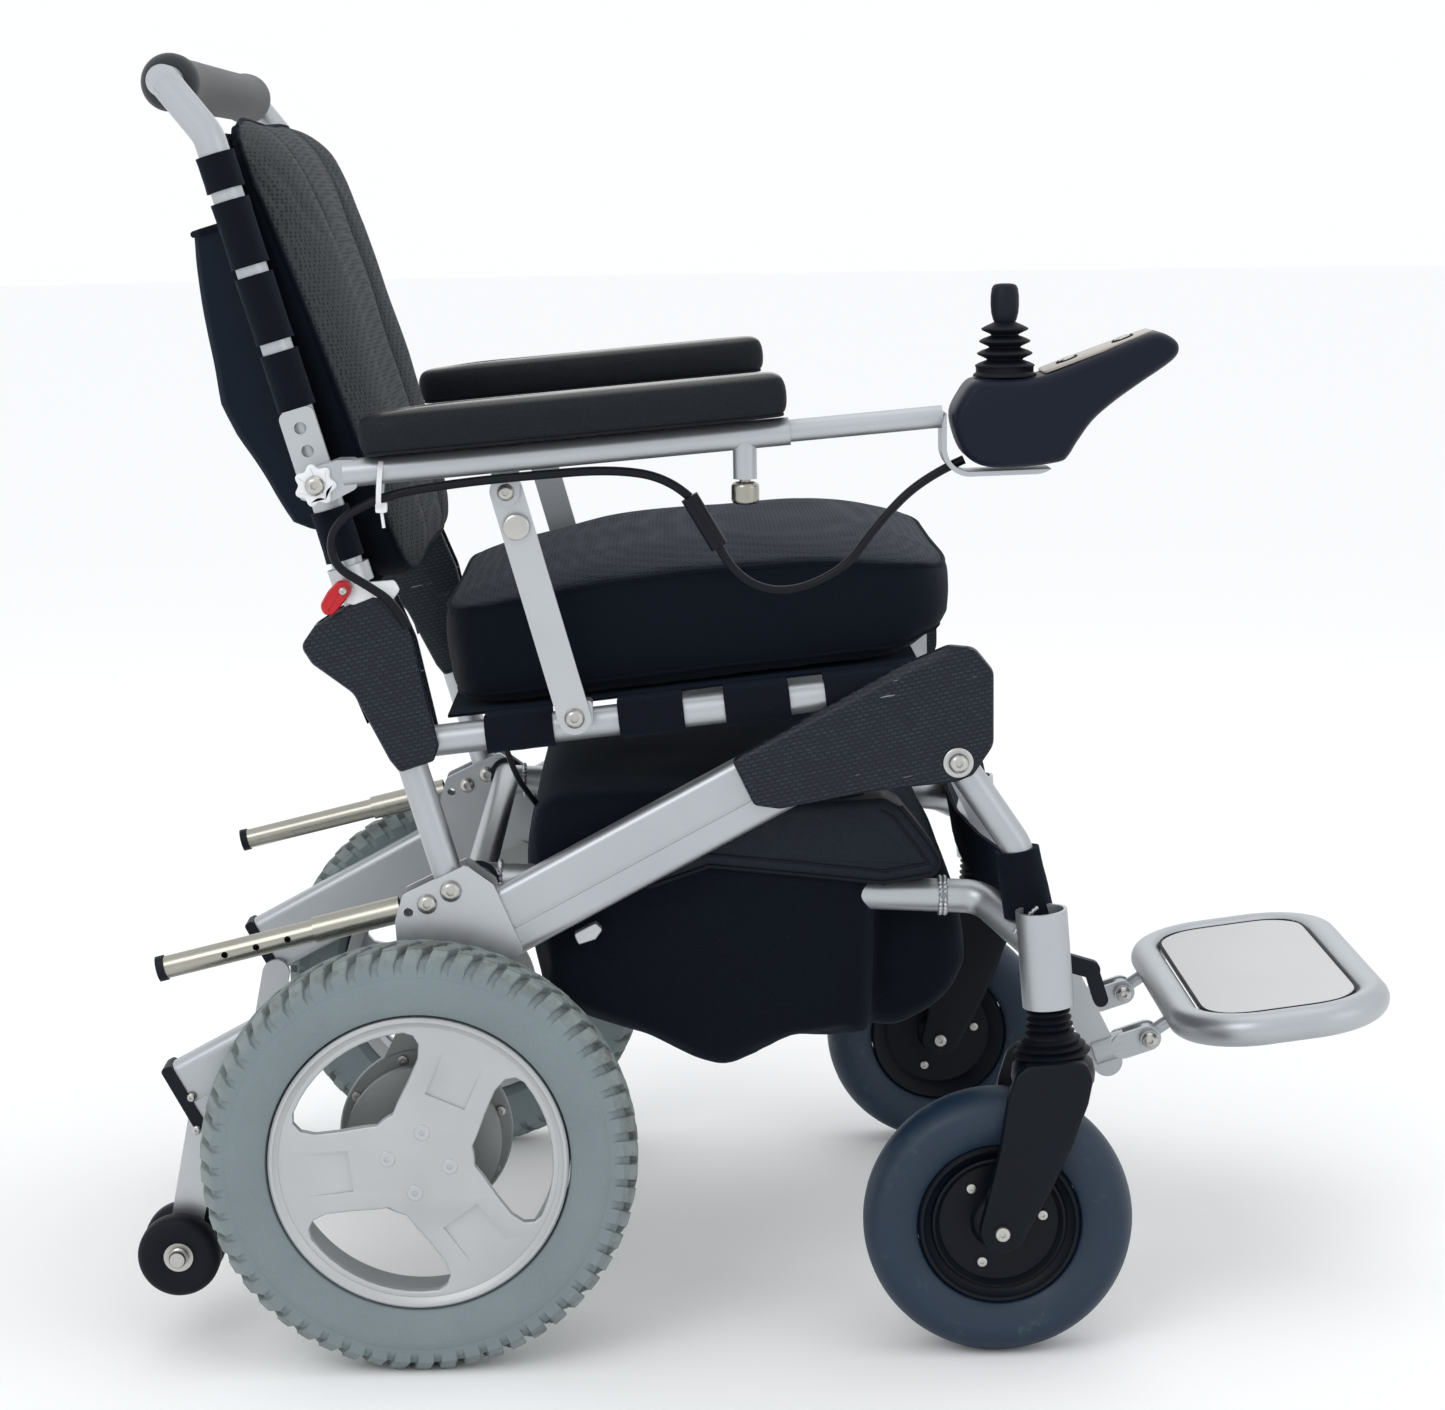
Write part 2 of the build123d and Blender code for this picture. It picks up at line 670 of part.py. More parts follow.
def rear_cable():
    points = [at((205, 642), cable_y), at((190, 656), cable_y - 1), at((150, 662.5), cable_y),
              at((94, 659), cable_y - 1), at((38, 654), cable_y), at((-14, 646), cable_y),
              at((-50, 626), cable_y + 6), at((-52, 596), cable_y + 12), at((-26, 580), -262),
              at((-8, 566), -255), at((0, 548), -252.5)]
    return cable_tube(points, cable_diameter, "rear cable")


def seat_cable():
    points = [at((60, 470), -196), at((70, 432), -198), at((84, 404), -170), at((100, 376), -150)]
    return cable_tube(points, 4.5, "seat cable")


# ---- screws ----
def frame_screws():
    """Bolts and screws of the main frame."""
    solids = []
    for place, diameter in ((bracket_bolt, 8), (bracket_screw, 6)):
        near = -side_y - 15
        solids.append(crosswise(place, near - 4, near, 15) + crosswise(place, near, -side_y + 15, diameter))
    solids.append(crosswise(back_pivot, -side_y - 12.6, -side_y + 12.6, 10))
    solids.append(crosswise(strut_foot, -261, -256, 14) + crosswise(strut_foot, -256, -side_y - 12, 8))
    result = []
    for item in solids:
        result += both(item)
    return result


def back_screws():
    """Pivot bolts of the armrests, and the lever pins."""
    pivot = crosswise(arm_pivot, -arm_y - 10, -arm_y - 6, 14)
    pivot += crosswise(arm_pivot, -arm_y - 6, -side_y - 12, 8)
    result = []
    for item in (pivot, lever_pin()):
        result += both(item)
    return result


sleeve_parts, cap_parts = extension_tubes()
plates_right = rear_bracket() + front_bracket() + [strut_saddle(), anti_tip_arm()]

nodes = {
    "main_beam_right": [main_beam()],
    "main_beam_left": [left(main_beam())],
    "plastic_caps": both(beam_cap()) + both(cap_parts[0]) + both(tube_collar()),
    "bracket_plates": plates_right + [left(item) for item in plates_right],
    "seat_side_frames": both(seat_side_frame()),
    "lower_frame": [lower_frame()],
    "extension_tubes": both(sleeve_parts[0]) + both(sleeve_parts[1]),
    "gear_motors": both(gear_motor()),
    "battery_pack": [battery_pack()],
    "battery_bag": [battery_bag()],
    "seat_sling": [seat_sling()],
    "seat_cushion": [seat_cushion()],
    "frame_screws": frame_screws(),
    "front_covers": both(front_cover()),
    "seat_cable": [seat_cable()],
    "front_frame_right": [front_side()],
    "front_frame_left": [left(front_side())],
    "footrest_hanger": [hanger()] + both(front_pivot_pins()),
    "calf_strap": [calf_strap()],
    "fold_pedal": [fold_pedal()],
    "footplate_frame": [footplate_frame()],
    "footplate_panel": [footplate_panel()],
    "back_frame": [back_frame()],
    "push_grip": [push_grip()],
    "rear_covers": both(rear_cover()),
    "back_fittings": both(clamp_band()) + both(arm_bracket()) + back_screws(),
    "back_sling": [back_sling()],
    "back_cushion": [back_cushion()],
    "release_lever_right": [release_lever()],
    "release_lever_left": [left(release_lever())],
    "controller_tube": [controller_tube()],
    "controller_shell": [pod_shell()],
    "controller_panel": [pod_panel()],
    "speed_button": [pod_button(speed_place)],
    "power_button": [pod_button(power_place)],
    "stick_gimbal": [gimbal()],
    "joystick": [joystick()],
    "joystick_boot": [joystick_boot()],
    "set_knob": [set_knob()],
    "front_cable": [front_cable()],
    "cable_plug": [cable_plug()],
    "rear_cable": [rear_cable()],
}

sided = {
    "rear_tyre": [rear_tyre()],
    "rear_rim": rear_rim(),
    "anti_tip_wheels": anti_tip_wheels(),
    "caster_fork": [caster_fork()],
    "caster_tyre": [caster_tyre()],
    "caster_rim": [caster_rim()],
    "armrest_tube": [armrest_tube()],
    "arm_pad": [arm_pad()],
    "arm_strut": [strut()],
}

for name, solids in sided.items():
    nodes[name + "_right"] = solids
    nodes[name + "_left"] = [left(item) for item in solids]

for name, solids in nodes.items():
    export_step(group(solids), f"parts/{name}.step")

print(len(nodes), "nodes")
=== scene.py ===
import bmesh
import bpy
from math import cos, pi, radians, sin, sqrt, tan
from mathutils import Matrix, Vector, noise
from mathutils.bvhtree import BVHTree


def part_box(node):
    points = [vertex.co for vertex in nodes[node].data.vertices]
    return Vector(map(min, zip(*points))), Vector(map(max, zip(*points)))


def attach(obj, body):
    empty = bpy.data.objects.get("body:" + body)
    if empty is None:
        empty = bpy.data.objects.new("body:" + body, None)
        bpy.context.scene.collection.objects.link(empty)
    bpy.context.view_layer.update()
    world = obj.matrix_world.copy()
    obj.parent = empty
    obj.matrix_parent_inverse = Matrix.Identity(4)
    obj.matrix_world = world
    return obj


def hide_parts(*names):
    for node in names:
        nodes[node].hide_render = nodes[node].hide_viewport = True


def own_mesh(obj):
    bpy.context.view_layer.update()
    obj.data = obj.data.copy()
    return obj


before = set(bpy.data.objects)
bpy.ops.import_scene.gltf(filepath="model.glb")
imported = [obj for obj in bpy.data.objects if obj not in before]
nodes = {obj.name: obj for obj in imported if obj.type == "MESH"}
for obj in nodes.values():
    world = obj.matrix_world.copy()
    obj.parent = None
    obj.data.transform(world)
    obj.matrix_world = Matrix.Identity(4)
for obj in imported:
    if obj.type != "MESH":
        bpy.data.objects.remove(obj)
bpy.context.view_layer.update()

# the rear wheel sets the zero of the side view, the main beams set the frame's width
wheelLow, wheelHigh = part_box("rear_rim_right")
axleX = (wheelLow.x + wheelHigh.x) / 2
axleZ = (wheelLow.z + wheelHigh.z) / 2
beamLow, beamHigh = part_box("main_beam_right")
sideY = (beamLow.y + beamHigh.y) / 2 * 1000      # minus on the chair's right


def at(forward, height, y=0.0):
    # millimetres forward of the rear axle, up from the floor and across
    return Vector((axleX + forward / 1000, y / 1000, height / 1000))


def stepFrom(place, angle, distance):
    return (place[0] + distance * cos(radians(angle)), place[1] + distance * sin(radians(angle)))


def smoothStep(low, high, value):
    share = min(max((value - low) / (high - low), 0.0), 1.0)
    return share * share * (3 - 2 * share)


# shader helpers
class Wire:
    # a shader socket that can be used in a Python expression
    def __init__(self, tree, socket):
        self.tree = tree
        self.socket = socket

    def maths(self, operation, first, second=None):
        node = self.tree.nodes.new("ShaderNodeMath")
        node.operation = operation
        for place, value in enumerate((first, second)):
            if isinstance(value, Wire):
                self.tree.links.new(value.socket, node.inputs[place])
            elif value is not None:
                node.inputs[place].default_value = value
        return Wire(self.tree, node.outputs[0])

    def __add__(self, other):
        return self.maths("ADD", self, other)

    def __radd__(self, other):
        return self.maths("ADD", other, self)

    def __sub__(self, other):
        return self.maths("SUBTRACT", self, other)

    def __rsub__(self, other):
        return self.maths("SUBTRACT", other, self)

    def __mul__(self, other):
        return self.maths("MULTIPLY", self, other)

    def __rmul__(self, other):
        return self.maths("MULTIPLY", other, self)

    def __truediv__(self, other):
        return self.maths("DIVIDE", self, other)


class Finish:
    # a material: constants go straight on the shader, everything else through node()
    def __init__(self, name, slot, **constants):
        self.material = bpy.data.materials.new(name)
        self.material.use_nodes = True
        self.tree = self.material.node_tree
        self.shader = self.tree.nodes["Principled BSDF"]
        self.slot = slot
        for socket, value in constants.items():
            self.shader.inputs[socket.replace("_", " ")].default_value = value
        self.place = self.node("ShaderNodeTexCoord", out="Object")

    def node(self, kind, settings=None, inputs=None, out=0):
        node = self.tree.nodes.new(kind)
        for key, value in (settings or {}).items():
            if key == "stops":
                ramp = node.color_ramp
                while len(ramp.elements) < len(value):
                    ramp.elements.new(0.5)
                for element, (position, colour) in zip(ramp.elements, value):
                    element.position = position
                    element.color = colour if len(colour) == 4 else (*colour, 1)
            else:
                setattr(node, key, value)
        for key, value in (inputs or {}).items():
            if isinstance(value, Wire):
                self.tree.links.new(value.socket, node.inputs[key])
            else:
                node.inputs[key].default_value = value
        return Wire(self.tree, node.outputs[out])

    def noise(self, scale, detail=3.0, rough=0.55, place=None):
        return self.node("ShaderNodeTexNoise", {}, {"Vector": place or self.place, "Scale": scale,
                                                    "Detail": detail, "Roughness": rough})

    def axes(self, place=None):
        parts = self.node("ShaderNodeSeparateXYZ", {}, {0: place or self.place})
        return [Wire(self.tree, output) for output in parts.socket.node.outputs]

    def step(self, value, low, high):
        return self.node("ShaderNodeMapRange", {"interpolation_type": "SMOOTHSTEP"},
                         {"Value": value, "From Min": low, "From Max": high})

    def wave(self, value, pitch):
        return self.wrap("SINE", value * (2 * pi / pitch)) * 0.5 + 0.5

    def wrap(self, operation, value, other=None):
        return value.maths(operation, value, other)

    def mix(self, share, first, second):
        node = self.tree.nodes.new("ShaderNodeMix")
        node.data_type = "RGBA"
        for key, value in ((0, share), (6, first), (7, second)):
            if isinstance(value, Wire):
                self.tree.links.new(value.socket, node.inputs[key])
            else:
                node.inputs[key].default_value = value if key == 0 else (*value[:3], 1)
        return Wire(self.tree, node.outputs[2])

    def feed(self, **links):
        for socket, wire in links.items():
            self.tree.links.new(wire.socket, self.shader.inputs[socket.replace("_", " ")])
        return self

    def bump(self, height, distance, strength=1.0, under=None):
        inputs = {"Height": height, "Distance": distance, "Strength": strength}
        if under:
            inputs["Normal"] = under
        return self.node("ShaderNodeBump", {}, inputs)


def tint(red, green, blue):
    # a screen colour, 0 to 255, as the linear values that the shader takes
    return tuple((c / 255 / 12.92) if c < 10.3 else ((c / 255 + 0.055) / 1.055) ** 2.4
                 for c in (red, green, blue)) + (1.0,)


# finishes
def satinAlloy(name="satinAlloy", slot="satin_alloy", light=(184, 188, 191), dark=(160, 164, 168),
               rough=0.36):
    # bead-blasted and anodised tube, with faint handling marks
    f = Finish(name, slot, Metallic=0.82)
    cloud = f.noise(9, 4)
    grain = f.noise(900, 2)
    marks = f.step(f.noise(34, 6, 0.7), 0.6, 0.78)
    f.feed(Base_Color=f.mix(cloud * 0.8 + grain * 0.2, dark, light),
           Roughness=rough + marks * 0.1 + cloud * 0.06)
    return f.feed(Normal=f.bump(grain + marks * 0.3, 0.00012, 0.35))


def castAlloy():
    # silver lacquer on a cast wheel: a fine orange peel and a little sparkle
    f = Finish("castAlloy", "wheel_alloy", Metallic=0.55, Coat_Roughness=0.25)
    cloud = f.noise(14, 3)
    peel = f.noise(420, 2)
    spark = f.step(f.noise(2600, 1), 0.62, 0.72)
    f.feed(Base_Color=f.mix(cloud * 0.7 + spark * 0.3, tint(170, 172, 174), tint(196, 198, 199)))
    return f.feed(Roughness=0.42 + cloud * 0.08, Normal=f.bump(peel, 0.00015, 0.3))


def polishedSteel(name="polishedSteel", slot="stainless", colour=(172, 170, 160), rough=0.2):
    # drawn stainless tube: fine lines along it and a warm cast
    f = Finish(name, slot, Metallic=1.0)
    stretched = f.node("ShaderNodeMapping", {}, {"Vector": f.place, "Scale": (30, 900, 900)})
    lines = f.noise(1, 3, 0.6, stretched)
    smear = f.noise(26, 4)
    f.feed(Base_Color=f.mix(smear, tint(*[c * 0.88 for c in colour]), tint(*colour)))
    return f.feed(Roughness=rough + lines * 0.1 + smear * 0.06, Normal=f.bump(lines, 0.00005, 0.25))


def carbonTwill():
    # moulded skin with a printed twill: short light dashes in rows under a clear coat
    f = Finish("carbonTwill", "carbon_cover", Coat_Roughness=0.2, Coat_Weight=0.12, Specular_IOR_Level=0.2)
    turned = f.node("ShaderNodeMapping", {}, {"Vector": f.place, "Rotation": (0, radians(12), 0)})
    x, _, z = f.axes(turned)
    row = z / 0.003
    rowNumber = f.wrap("FLOOR", row)
    along = x / 0.0052 + rowNumber * 0.36
    cell = f.wrap("FLOOR", along)
    across = f.wrap("FRACT", row)
    inside = f.wrap("FRACT", along)
    dash = f.step(inside, 0.08, 0.3) * f.step(1 - inside, 0.02, 0.16)
    dash = dash * f.step(across, 0.3, 0.5) * f.step(1 - across, 0.02, 0.16)
    chance = f.node("ShaderNodeTexWhiteNoise", {"noise_dimensions": "2D"},
                    {"Vector": f.node("ShaderNodeCombineXYZ", {}, {0: cell, 1: rowNumber})})
    ribs = f.wave(x + z * 0.4, 0.0012)
    light = dash * (0.4 + chance * 0.6)
    under = f.mix(f.noise(30, 3), tint(8, 14, 22), tint(15, 22, 32))
    stretched = f.node("ShaderNodeMapping", {}, {"Vector": turned, "Scale": (0.5, 1, 7)})
    scratch = f.step(f.noise(60, 2, 0.5, stretched), 0.73, 0.76)
    f.feed(Base_Color=f.mix(scratch * 0.5, f.mix(light * 0.8, under, tint(38, 48, 60)), tint(170, 175, 178)))
    f.feed(Roughness=0.4 + ribs * 0.12 + scratch * 0.2)
    return f.feed(Normal=f.bump(dash * 0.8 + ribs * 0.25, 0.0003, 0.5))


def weave(f, place, pitch):
    # plain weave: over and under threads as a height from 0 to 1
    x, y, z = f.axes(place)
    first = f.wave(x + y, pitch)
    second = f.wave(z + y * 0.7, pitch)
    return f.wrap("MAXIMUM", first * (1 - second * 0.6), second * (1 - first * 0.6))


def navyFabric(name="navyFabric", slot="dark_fabric", light=(31, 38, 52), dark=(9, 14, 25), pitch=0.0011):
    # dense woven nylon with lint and soft creases
    f = Finish(name, slot, Specular_IOR_Level=0.14, Sheen_Weight=0.07, Sheen_Roughness=0.5,
               Sheen_Tint=tint(120, 150, 190))
    thread = weave(f, None, pitch)
    cloud = f.noise(11, 5, 0.65)
    crease = f.noise(28, 4, 0.5)
    lint = f.step(f.noise(700, 2), 0.72, 0.8)
    colour = f.mix(thread * 0.55 + cloud * 0.45, dark, light)
    f.feed(Base_Color=f.mix(lint * 0.35, colour, tint(104, 112, 122)), Roughness=0.78 + cloud * 0.16)
    return f.feed(Normal=f.bump(thread, 0.0005, 0.6, f.bump(crease, 0.004, 0.35)))


def spacerMesh(name="spacerMesh", light=(84, 90, 98), dark=(28, 33, 42), pitch=0.0034):
    # air mesh: rows of small round holes with a knitted rib between
    f = Finish(name, "mesh_fabric", Roughness=0.9, Sheen_Weight=0.35, Sheen_Roughness=0.45,
               Sheen_Tint=tint(190, 190, 190))
    holes = f.node("ShaderNodeTexVoronoi", {"feature": "F1"}, {"Vector": f.place, "Scale": 1 / pitch,
                                                               "Randomness": 0.25})
    gaps = 1 - f.step(holes, 0.2, 0.52)
    cloud = f.noise(9, 4)
    fuzz = f.noise(800, 2)
    colour = f.mix(cloud * 0.6 + fuzz * 0.4, tint(*[c * 0.78 for c in light]), tint(*light))
    f.feed(Base_Color=f.mix(gaps * 0.8, colour, tint(*dark)), Roughness=0.8 + fuzz * 0.15)
    return f.feed(Normal=f.bump((1 - gaps) + fuzz * 0.2, 0.0009, 0.7))


def leatherette(name="leatherette", slot="pad_leather", light=(17, 23, 31), dark=(7, 11, 17)):
    # pebbled vinyl, with a painted highlight along the tops of the arm pads: a glossy coat with a warm tint
    # in a thin band just under the top edge
    # the warm coat tint colours the painted highlight band on the pad tops
    f = Finish(name, slot, Coat_Roughness=0.16, Coat_Tint=(1.0, 0.95, 0.8, 1), Specular_IOR_Level=0.2)
    x, _, z = f.axes()
    slope = tan(radians(4.6))
    padTop = 0.7045 - (axleX - 0.04) * slope
    # painted highlight: a thin band under the arm pads' top edge gets a glossy, warm-tinted coat that stands
    # in for the highlight there
    topHighlightBand = f.step(z - x * slope, padTop - 0.0045, padTop - 0.001)
    cells = f.node("ShaderNodeTexVoronoi", {"feature": "DISTANCE_TO_EDGE"},
                   {"Vector": f.place, "Scale": 620.0})
    pebble = f.step(cells, 0.0, 0.22)
    cloud = f.noise(14, 4)
    wear = f.step(f.noise(22, 5, 0.7), 0.5, 0.75)
    f.feed(Base_Color=f.mix(pebble * 0.6 + cloud * 0.4, tint(*dark), tint(*light)))
    f.feed(Roughness=0.5 - wear * 0.12 + (1 - pebble) * 0.15, Coat_Weight=topHighlightBand * 0.75 + wear * 0.05)
    return f.feed(Normal=f.bump(pebble, 0.0002, 0.55, f.bump(f.noise(40, 3), 0.001, 0.2)))


def rearRubber():
    # light grey solid tyre: moulded skin and brown grime between the blocks
    f = Finish("rearRubber", "rear_tyre", Specular_IOR_Level=0.35)
    x, _, z = f.axes()
    reach = f.wrap("SQRT", (x - axleX) * (x - axleX) + (z - axleZ) * (z - axleZ))
    crown = f.step(reach, 0.1475, 0.157)
    cloud = f.noise(16, 5, 0.6)
    specks = f.noise(640, 2, 0.7)
    grime = f.step(f.noise(48, 5, 0.7), 0.42, 0.7)
    skin = f.mix(cloud * 0.6 + specks * 0.4, tint(100, 111, 115), tint(130, 142, 145))
    worn = f.mix(grime, tint(134, 142, 141), tint(98, 98, 90))
    f.feed(Base_Color=f.mix(crown * 0.75, skin, worn), Roughness=0.62 + cloud * 0.2)
    return f.feed(Normal=f.bump(specks + cloud, 0.0003, 0.4))


def casterRubber():
    # slate blue solid tyre, smooth enough for a soft highlight
    f = Finish("casterRubber", "caster_tyre", Specular_IOR_Level=0.45)
    cloud = f.noise(13, 5, 0.6)
    specks = f.noise(700, 2, 0.7)
    dust = f.step(f.noise(60, 5, 0.75), 0.55, 0.8)
    skin = f.mix(cloud * 0.7 + specks * 0.3, tint(6, 28, 46), tint(20, 44, 66))
    f.feed(Base_Color=f.mix(dust * 0.18, skin, tint(120, 132, 140)),
           Roughness=0.42 + cloud * 0.16 + dust * 0.1)
    return f.feed(Normal=f.bump(specks, 0.0002, 0.35))


def mouldedPlastic(name="mouldedPlastic", slot="black_plastic", light=(20, 26, 36), dark=(8, 12, 20),
                   rough=0.46, grain=1300.0, depth=0.00012, **constants):
    # spark-eroded grain with slightly polished touch marks
    f = Finish(name, slot, Specular_IOR_Level=0.18, **constants)
    cells = f.node("ShaderNodeTexVoronoi", {"feature": "SMOOTH_F1"}, {"Vector": f.place, "Scale": grain})
    cloud = f.noise(15, 4)
    touch = f.step(f.noise(24, 5, 0.6), 0.52, 0.74)
    f.feed(Base_Color=f.mix(cloud, tint(*dark), tint(*light)), Roughness=rough + cloud * 0.1 - touch * 0.08)
    return f.feed(Normal=f.bump(cells, depth, 0.4))


def foamSleeve():
    # closed-cell foam grip: open pores and a dry, chalky surface
    f = Finish("foamSleeve", "foam_grip", Sheen_Weight=0.2, Sheen_Roughness=0.6)
    pores = f.node("ShaderNodeTexVoronoi", {"feature": "F1"}, {"Vector": f.place, "Scale": 900.0})
    gaps = 1 - f.step(pores, 0.12, 0.4)
    cloud = f.noise(20, 4)
    f.feed(Base_Color=f.mix(gaps * 0.7, f.mix(cloud, tint(28, 34, 37), tint(46, 52, 54)), tint(8, 10, 13)))
    return f.feed(Roughness=0.82 + cloud * 0.12, Normal=f.bump(1 - gaps, 0.0004, 0.6))


def powderCoat(name, slot, light, dark, rough=0.5, metallic=0.0):
    # baked powder: a soft orange peel
    f = Finish(name, slot, Metallic=metallic)
    peel = f.noise(520, 2)
    cloud = f.noise(12, 4)
    f.feed(Base_Color=f.mix(cloud, tint(*dark), tint(*light)), Roughness=rough + cloud * 0.1)
    return f.feed(Normal=f.bump(peel, 0.00025, 0.35))


finishes = {
    "satinAlloy": satinAlloy("satinAlloy", "satin_alloy", tint(188, 192, 195), tint(162, 166, 170)),
    "plateAlloy": satinAlloy("plateAlloy", "plate_alloy", tint(194, 197, 200), tint(170, 173, 177), 0.32),
    "castAlloy": castAlloy(),
    "polishedSteel": polishedSteel(),
    "screwSteel": polishedSteel("screwSteel", "screw_steel", (196, 194, 190), 0.24),
    "carbonTwill": carbonTwill(),
    "navyFabric": navyFabric("navyFabric", "dark_fabric", tint(10, 22, 36), tint(2, 9, 20)),
    "bagCloth": navyFabric("bagCloth", "dark_fabric", tint(7, 14, 25), tint(1, 5, 12), 0.0014),
    "webbing": navyFabric("webbing", "dark_fabric", tint(9, 15, 27), tint(2, 5, 12), 0.0019),
    "spacerMesh": spacerMesh(),
    "leatherette": leatherette(),
    "rearRubber": rearRubber(),
    "casterRubber": casterRubber(),
    "mouldedPlastic": mouldedPlastic(),
    "podPlastic": mouldedPlastic("podPlastic", "black_plastic", (14, 22, 40), (7, 14, 28), 0.42, 1500.0),
    "forkPlastic": mouldedPlastic("forkPlastic", "black_plastic", (5, 12, 24), (2, 6, 14), 0.4, 900.0),
    "redPlastic": mouldedPlastic("redPlastic", "red_plastic", (196, 26, 38), (150, 10, 22), 0.28, 900.0,
                                 0.0001,
                                 Coat_Weight=0.3),
    "clearPlastic": mouldedPlastic("clearPlastic", "panel_light", (232, 234, 236), (208, 211, 214), 0.22,
                                   700.0),
    "foamSleeve": foamSleeve(),
    "motorPaint": powderCoat("motorPaint", "motor_paint", (166, 170, 167), (128, 132, 132), 0.42, 0.35),
    "labelFilm": powderCoat("labelFilm", "panel_grey", (176, 168, 158), (150, 143, 136), 0.34),
    "plateCoat": powderCoat("plateCoat", "panel_light", (212, 212, 211), (202, 202, 202), 0.55),
    "cableJacket": mouldedPlastic("cableJacket", "cable_jacket", (14, 19, 28), (5, 8, 14), 0.36, 600.0),
    "bellowsRubber": mouldedPlastic("bellowsRubber", "rubber_black", (12, 17, 28), (4, 7, 14), 0.5, 700.0),
    "batteryCase": mouldedPlastic("batteryCase", "battery_case"),
}
print("finishes made:", len(finishes))

# what each carried-over CAD node is finished in
nodeFinish = {
    "main_beam": "satinAlloy", "plastic_caps": "mouldedPlastic", "bracket_plates": "plateAlloy",
    "seat_side_frames": "satinAlloy", "lower_frame": "satinAlloy", "extension_tubes": "polishedSteel",
    "gear_motors": "motorPaint", "battery_pack": "batteryCase", "frame_screws": "screwSteel",
    "front_frame": "satinAlloy", "footrest_hanger": "satinAlloy", "fold_pedal": "mouldedPlastic",
    "footplate_frame": "satinAlloy", "footplate_panel": "plateCoat", "back_frame": "satinAlloy",
    "back_fittings": "plateAlloy", "release_lever": "redPlastic", "controller_tube": "satinAlloy",
    "controller_panel": "labelFilm", "speed_button": "podPlastic", "power_button": "podPlastic",
    "stick_gimbal": "mouldedPlastic", "set_knob": "polishedSteel", "anti_tip_wheels": "bellowsRubber",
    "armrest_tube": "satinAlloy", "arm_strut": "plateAlloy", "cable_plug": "cableJacket",
    "seat_sling": "navyFabric", "seat_cushion": "navyFabric", "battery_bag": "bagCloth",
    "front_covers": "carbonTwill", "rear_covers": "carbonTwill", "back_sling": "navyFabric",
    "back_cushion": "spacerMesh", "calf_strap": "webbing", "push_grip": "foamSleeve",
    "controller_shell": "podPlastic", "joystick": "mouldedPlastic", "joystick_boot": "bellowsRubber",
    "rear_tyre": "rearRubber", "rear_rim": "castAlloy", "caster_fork": "forkPlastic",
    "caster_tyre": "casterRubber", "caster_rim": "forkPlastic", "arm_pad": "leatherette",
}
for nodeName, nodeObject in nodes.items():
    plainName = nodeName.replace("_right", "").replace("_left", "")
    finishName = nodeFinish.get(nodeName) or nodeFinish.get(plainName)
    if finishName:
        nodeObject.data.materials.clear()
        nodeObject.data.materials.append(finishes[finishName].material)

# camera
cameraView = {"forward": 192.9, "height": 857.3, "across": -2488.0, "lens": 77.71,
              "yaw": 0.873, "pitch": 9.385, "roll": 0.799}


def makeCamera(v):
    yaw, pitch, roll = (radians(v[key]) for key in ("yaw", "pitch", "roll"))
    ahead = Vector((sin(yaw) * cos(pitch), cos(yaw) * cos(pitch), -sin(pitch)))
    level = Vector((cos(yaw), -sin(yaw), 0))
    upright = level.cross(ahead)
    right = level * cos(roll) - upright * sin(roll)
    up = upright * cos(roll) + level * sin(roll)
    data = bpy.data.cameras.new("sideCamera")
    data.lens = v["lens"]
    data.sensor_width = 36
    data.sensor_fit = "HORIZONTAL"
    camera = bpy.data.objects.new("sideCamera", data)
    bpy.context.collection.objects.link(camera)
    camera.matrix_world = Matrix.Translation(at(v["forward"], v["height"], v["across"])) @ \
        Matrix((right, up, -ahead)).transposed().to_4x4()
    bpy.context.scene.camera = camera


makeCamera(cameraView)

# light and stage
studio = {"floor": (0.95, 0.95, 0.95, 1), "sky": 1.03, "key": 22, "fill": 5, "top": 8, "back": 4}


def softBox(name, place, target, size, power):
    data = bpy.data.lights.new(name, "AREA")
    data.shape = "RECTANGLE"
    data.size, data.size_y = size
    data.energy = power
    lamp = bpy.data.objects.new(name, data)
    bpy.context.collection.objects.link(lamp)
    lamp.location = place
    lamp.rotation_euler = (Vector(target) - Vector(place)).to_track_quat("-Z", "Y").to_euler()


def makeStudio(s):
    bpy.context.scene.view_settings.view_transform = "Standard"
    world = bpy.data.worlds.new("studioWorld")
    world.use_nodes = True
    world.node_tree.nodes["Background"].inputs["Color"].default_value = (0.96, 0.98, 1, 1)
    world.node_tree.nodes["Background"].inputs["Strength"].default_value = s["sky"]
    bpy.context.scene.world = world
    softBox("keyLight", (-1.6, -2.6, 2.6), (0, 0, 0.4), (1.6, 1.6), s["key"])
    softBox("fillLight", (2.4, -2.0, 1.4), (0, 0, 0.4), (1.4, 1.8), s["fill"])
    softBox("topLight", (0.2, 0.2, 3.0), (0, 0, 0.3), (2.4, 2.0), s["top"])
    softBox("backLight", (0.4, 2.8, 1.8), (0, 0, 0.5), (2.4, 1.4), s["back"])
    bm = bmesh.new()
    bmesh.ops.create_circle(bm, cap_ends=True, segments=96, radius=30)
    mesh = bpy.data.meshes.new("studioFloor")
    bm.to_mesh(mesh)
    bm.free()
    floor = bpy.data.objects.new("studioFloor", mesh)
    bpy.context.collection.objects.link(floor)
    paper = bpy.data.materials.new("paperFloor")
    paper.use_nodes = True
    paper.node_tree.nodes["Principled BSDF"].inputs["Base Color"].default_value = s["floor"]
    paper.node_tree.nodes["Principled BSDF"].inputs["Roughness"].default_value = 0.9
    paper.node_tree.nodes["Principled BSDF"].inputs["Specular IOR Level"].default_value = 0.1
    mesh.materials.append(paper)


makeStudio(studio)
print("camera and light set")


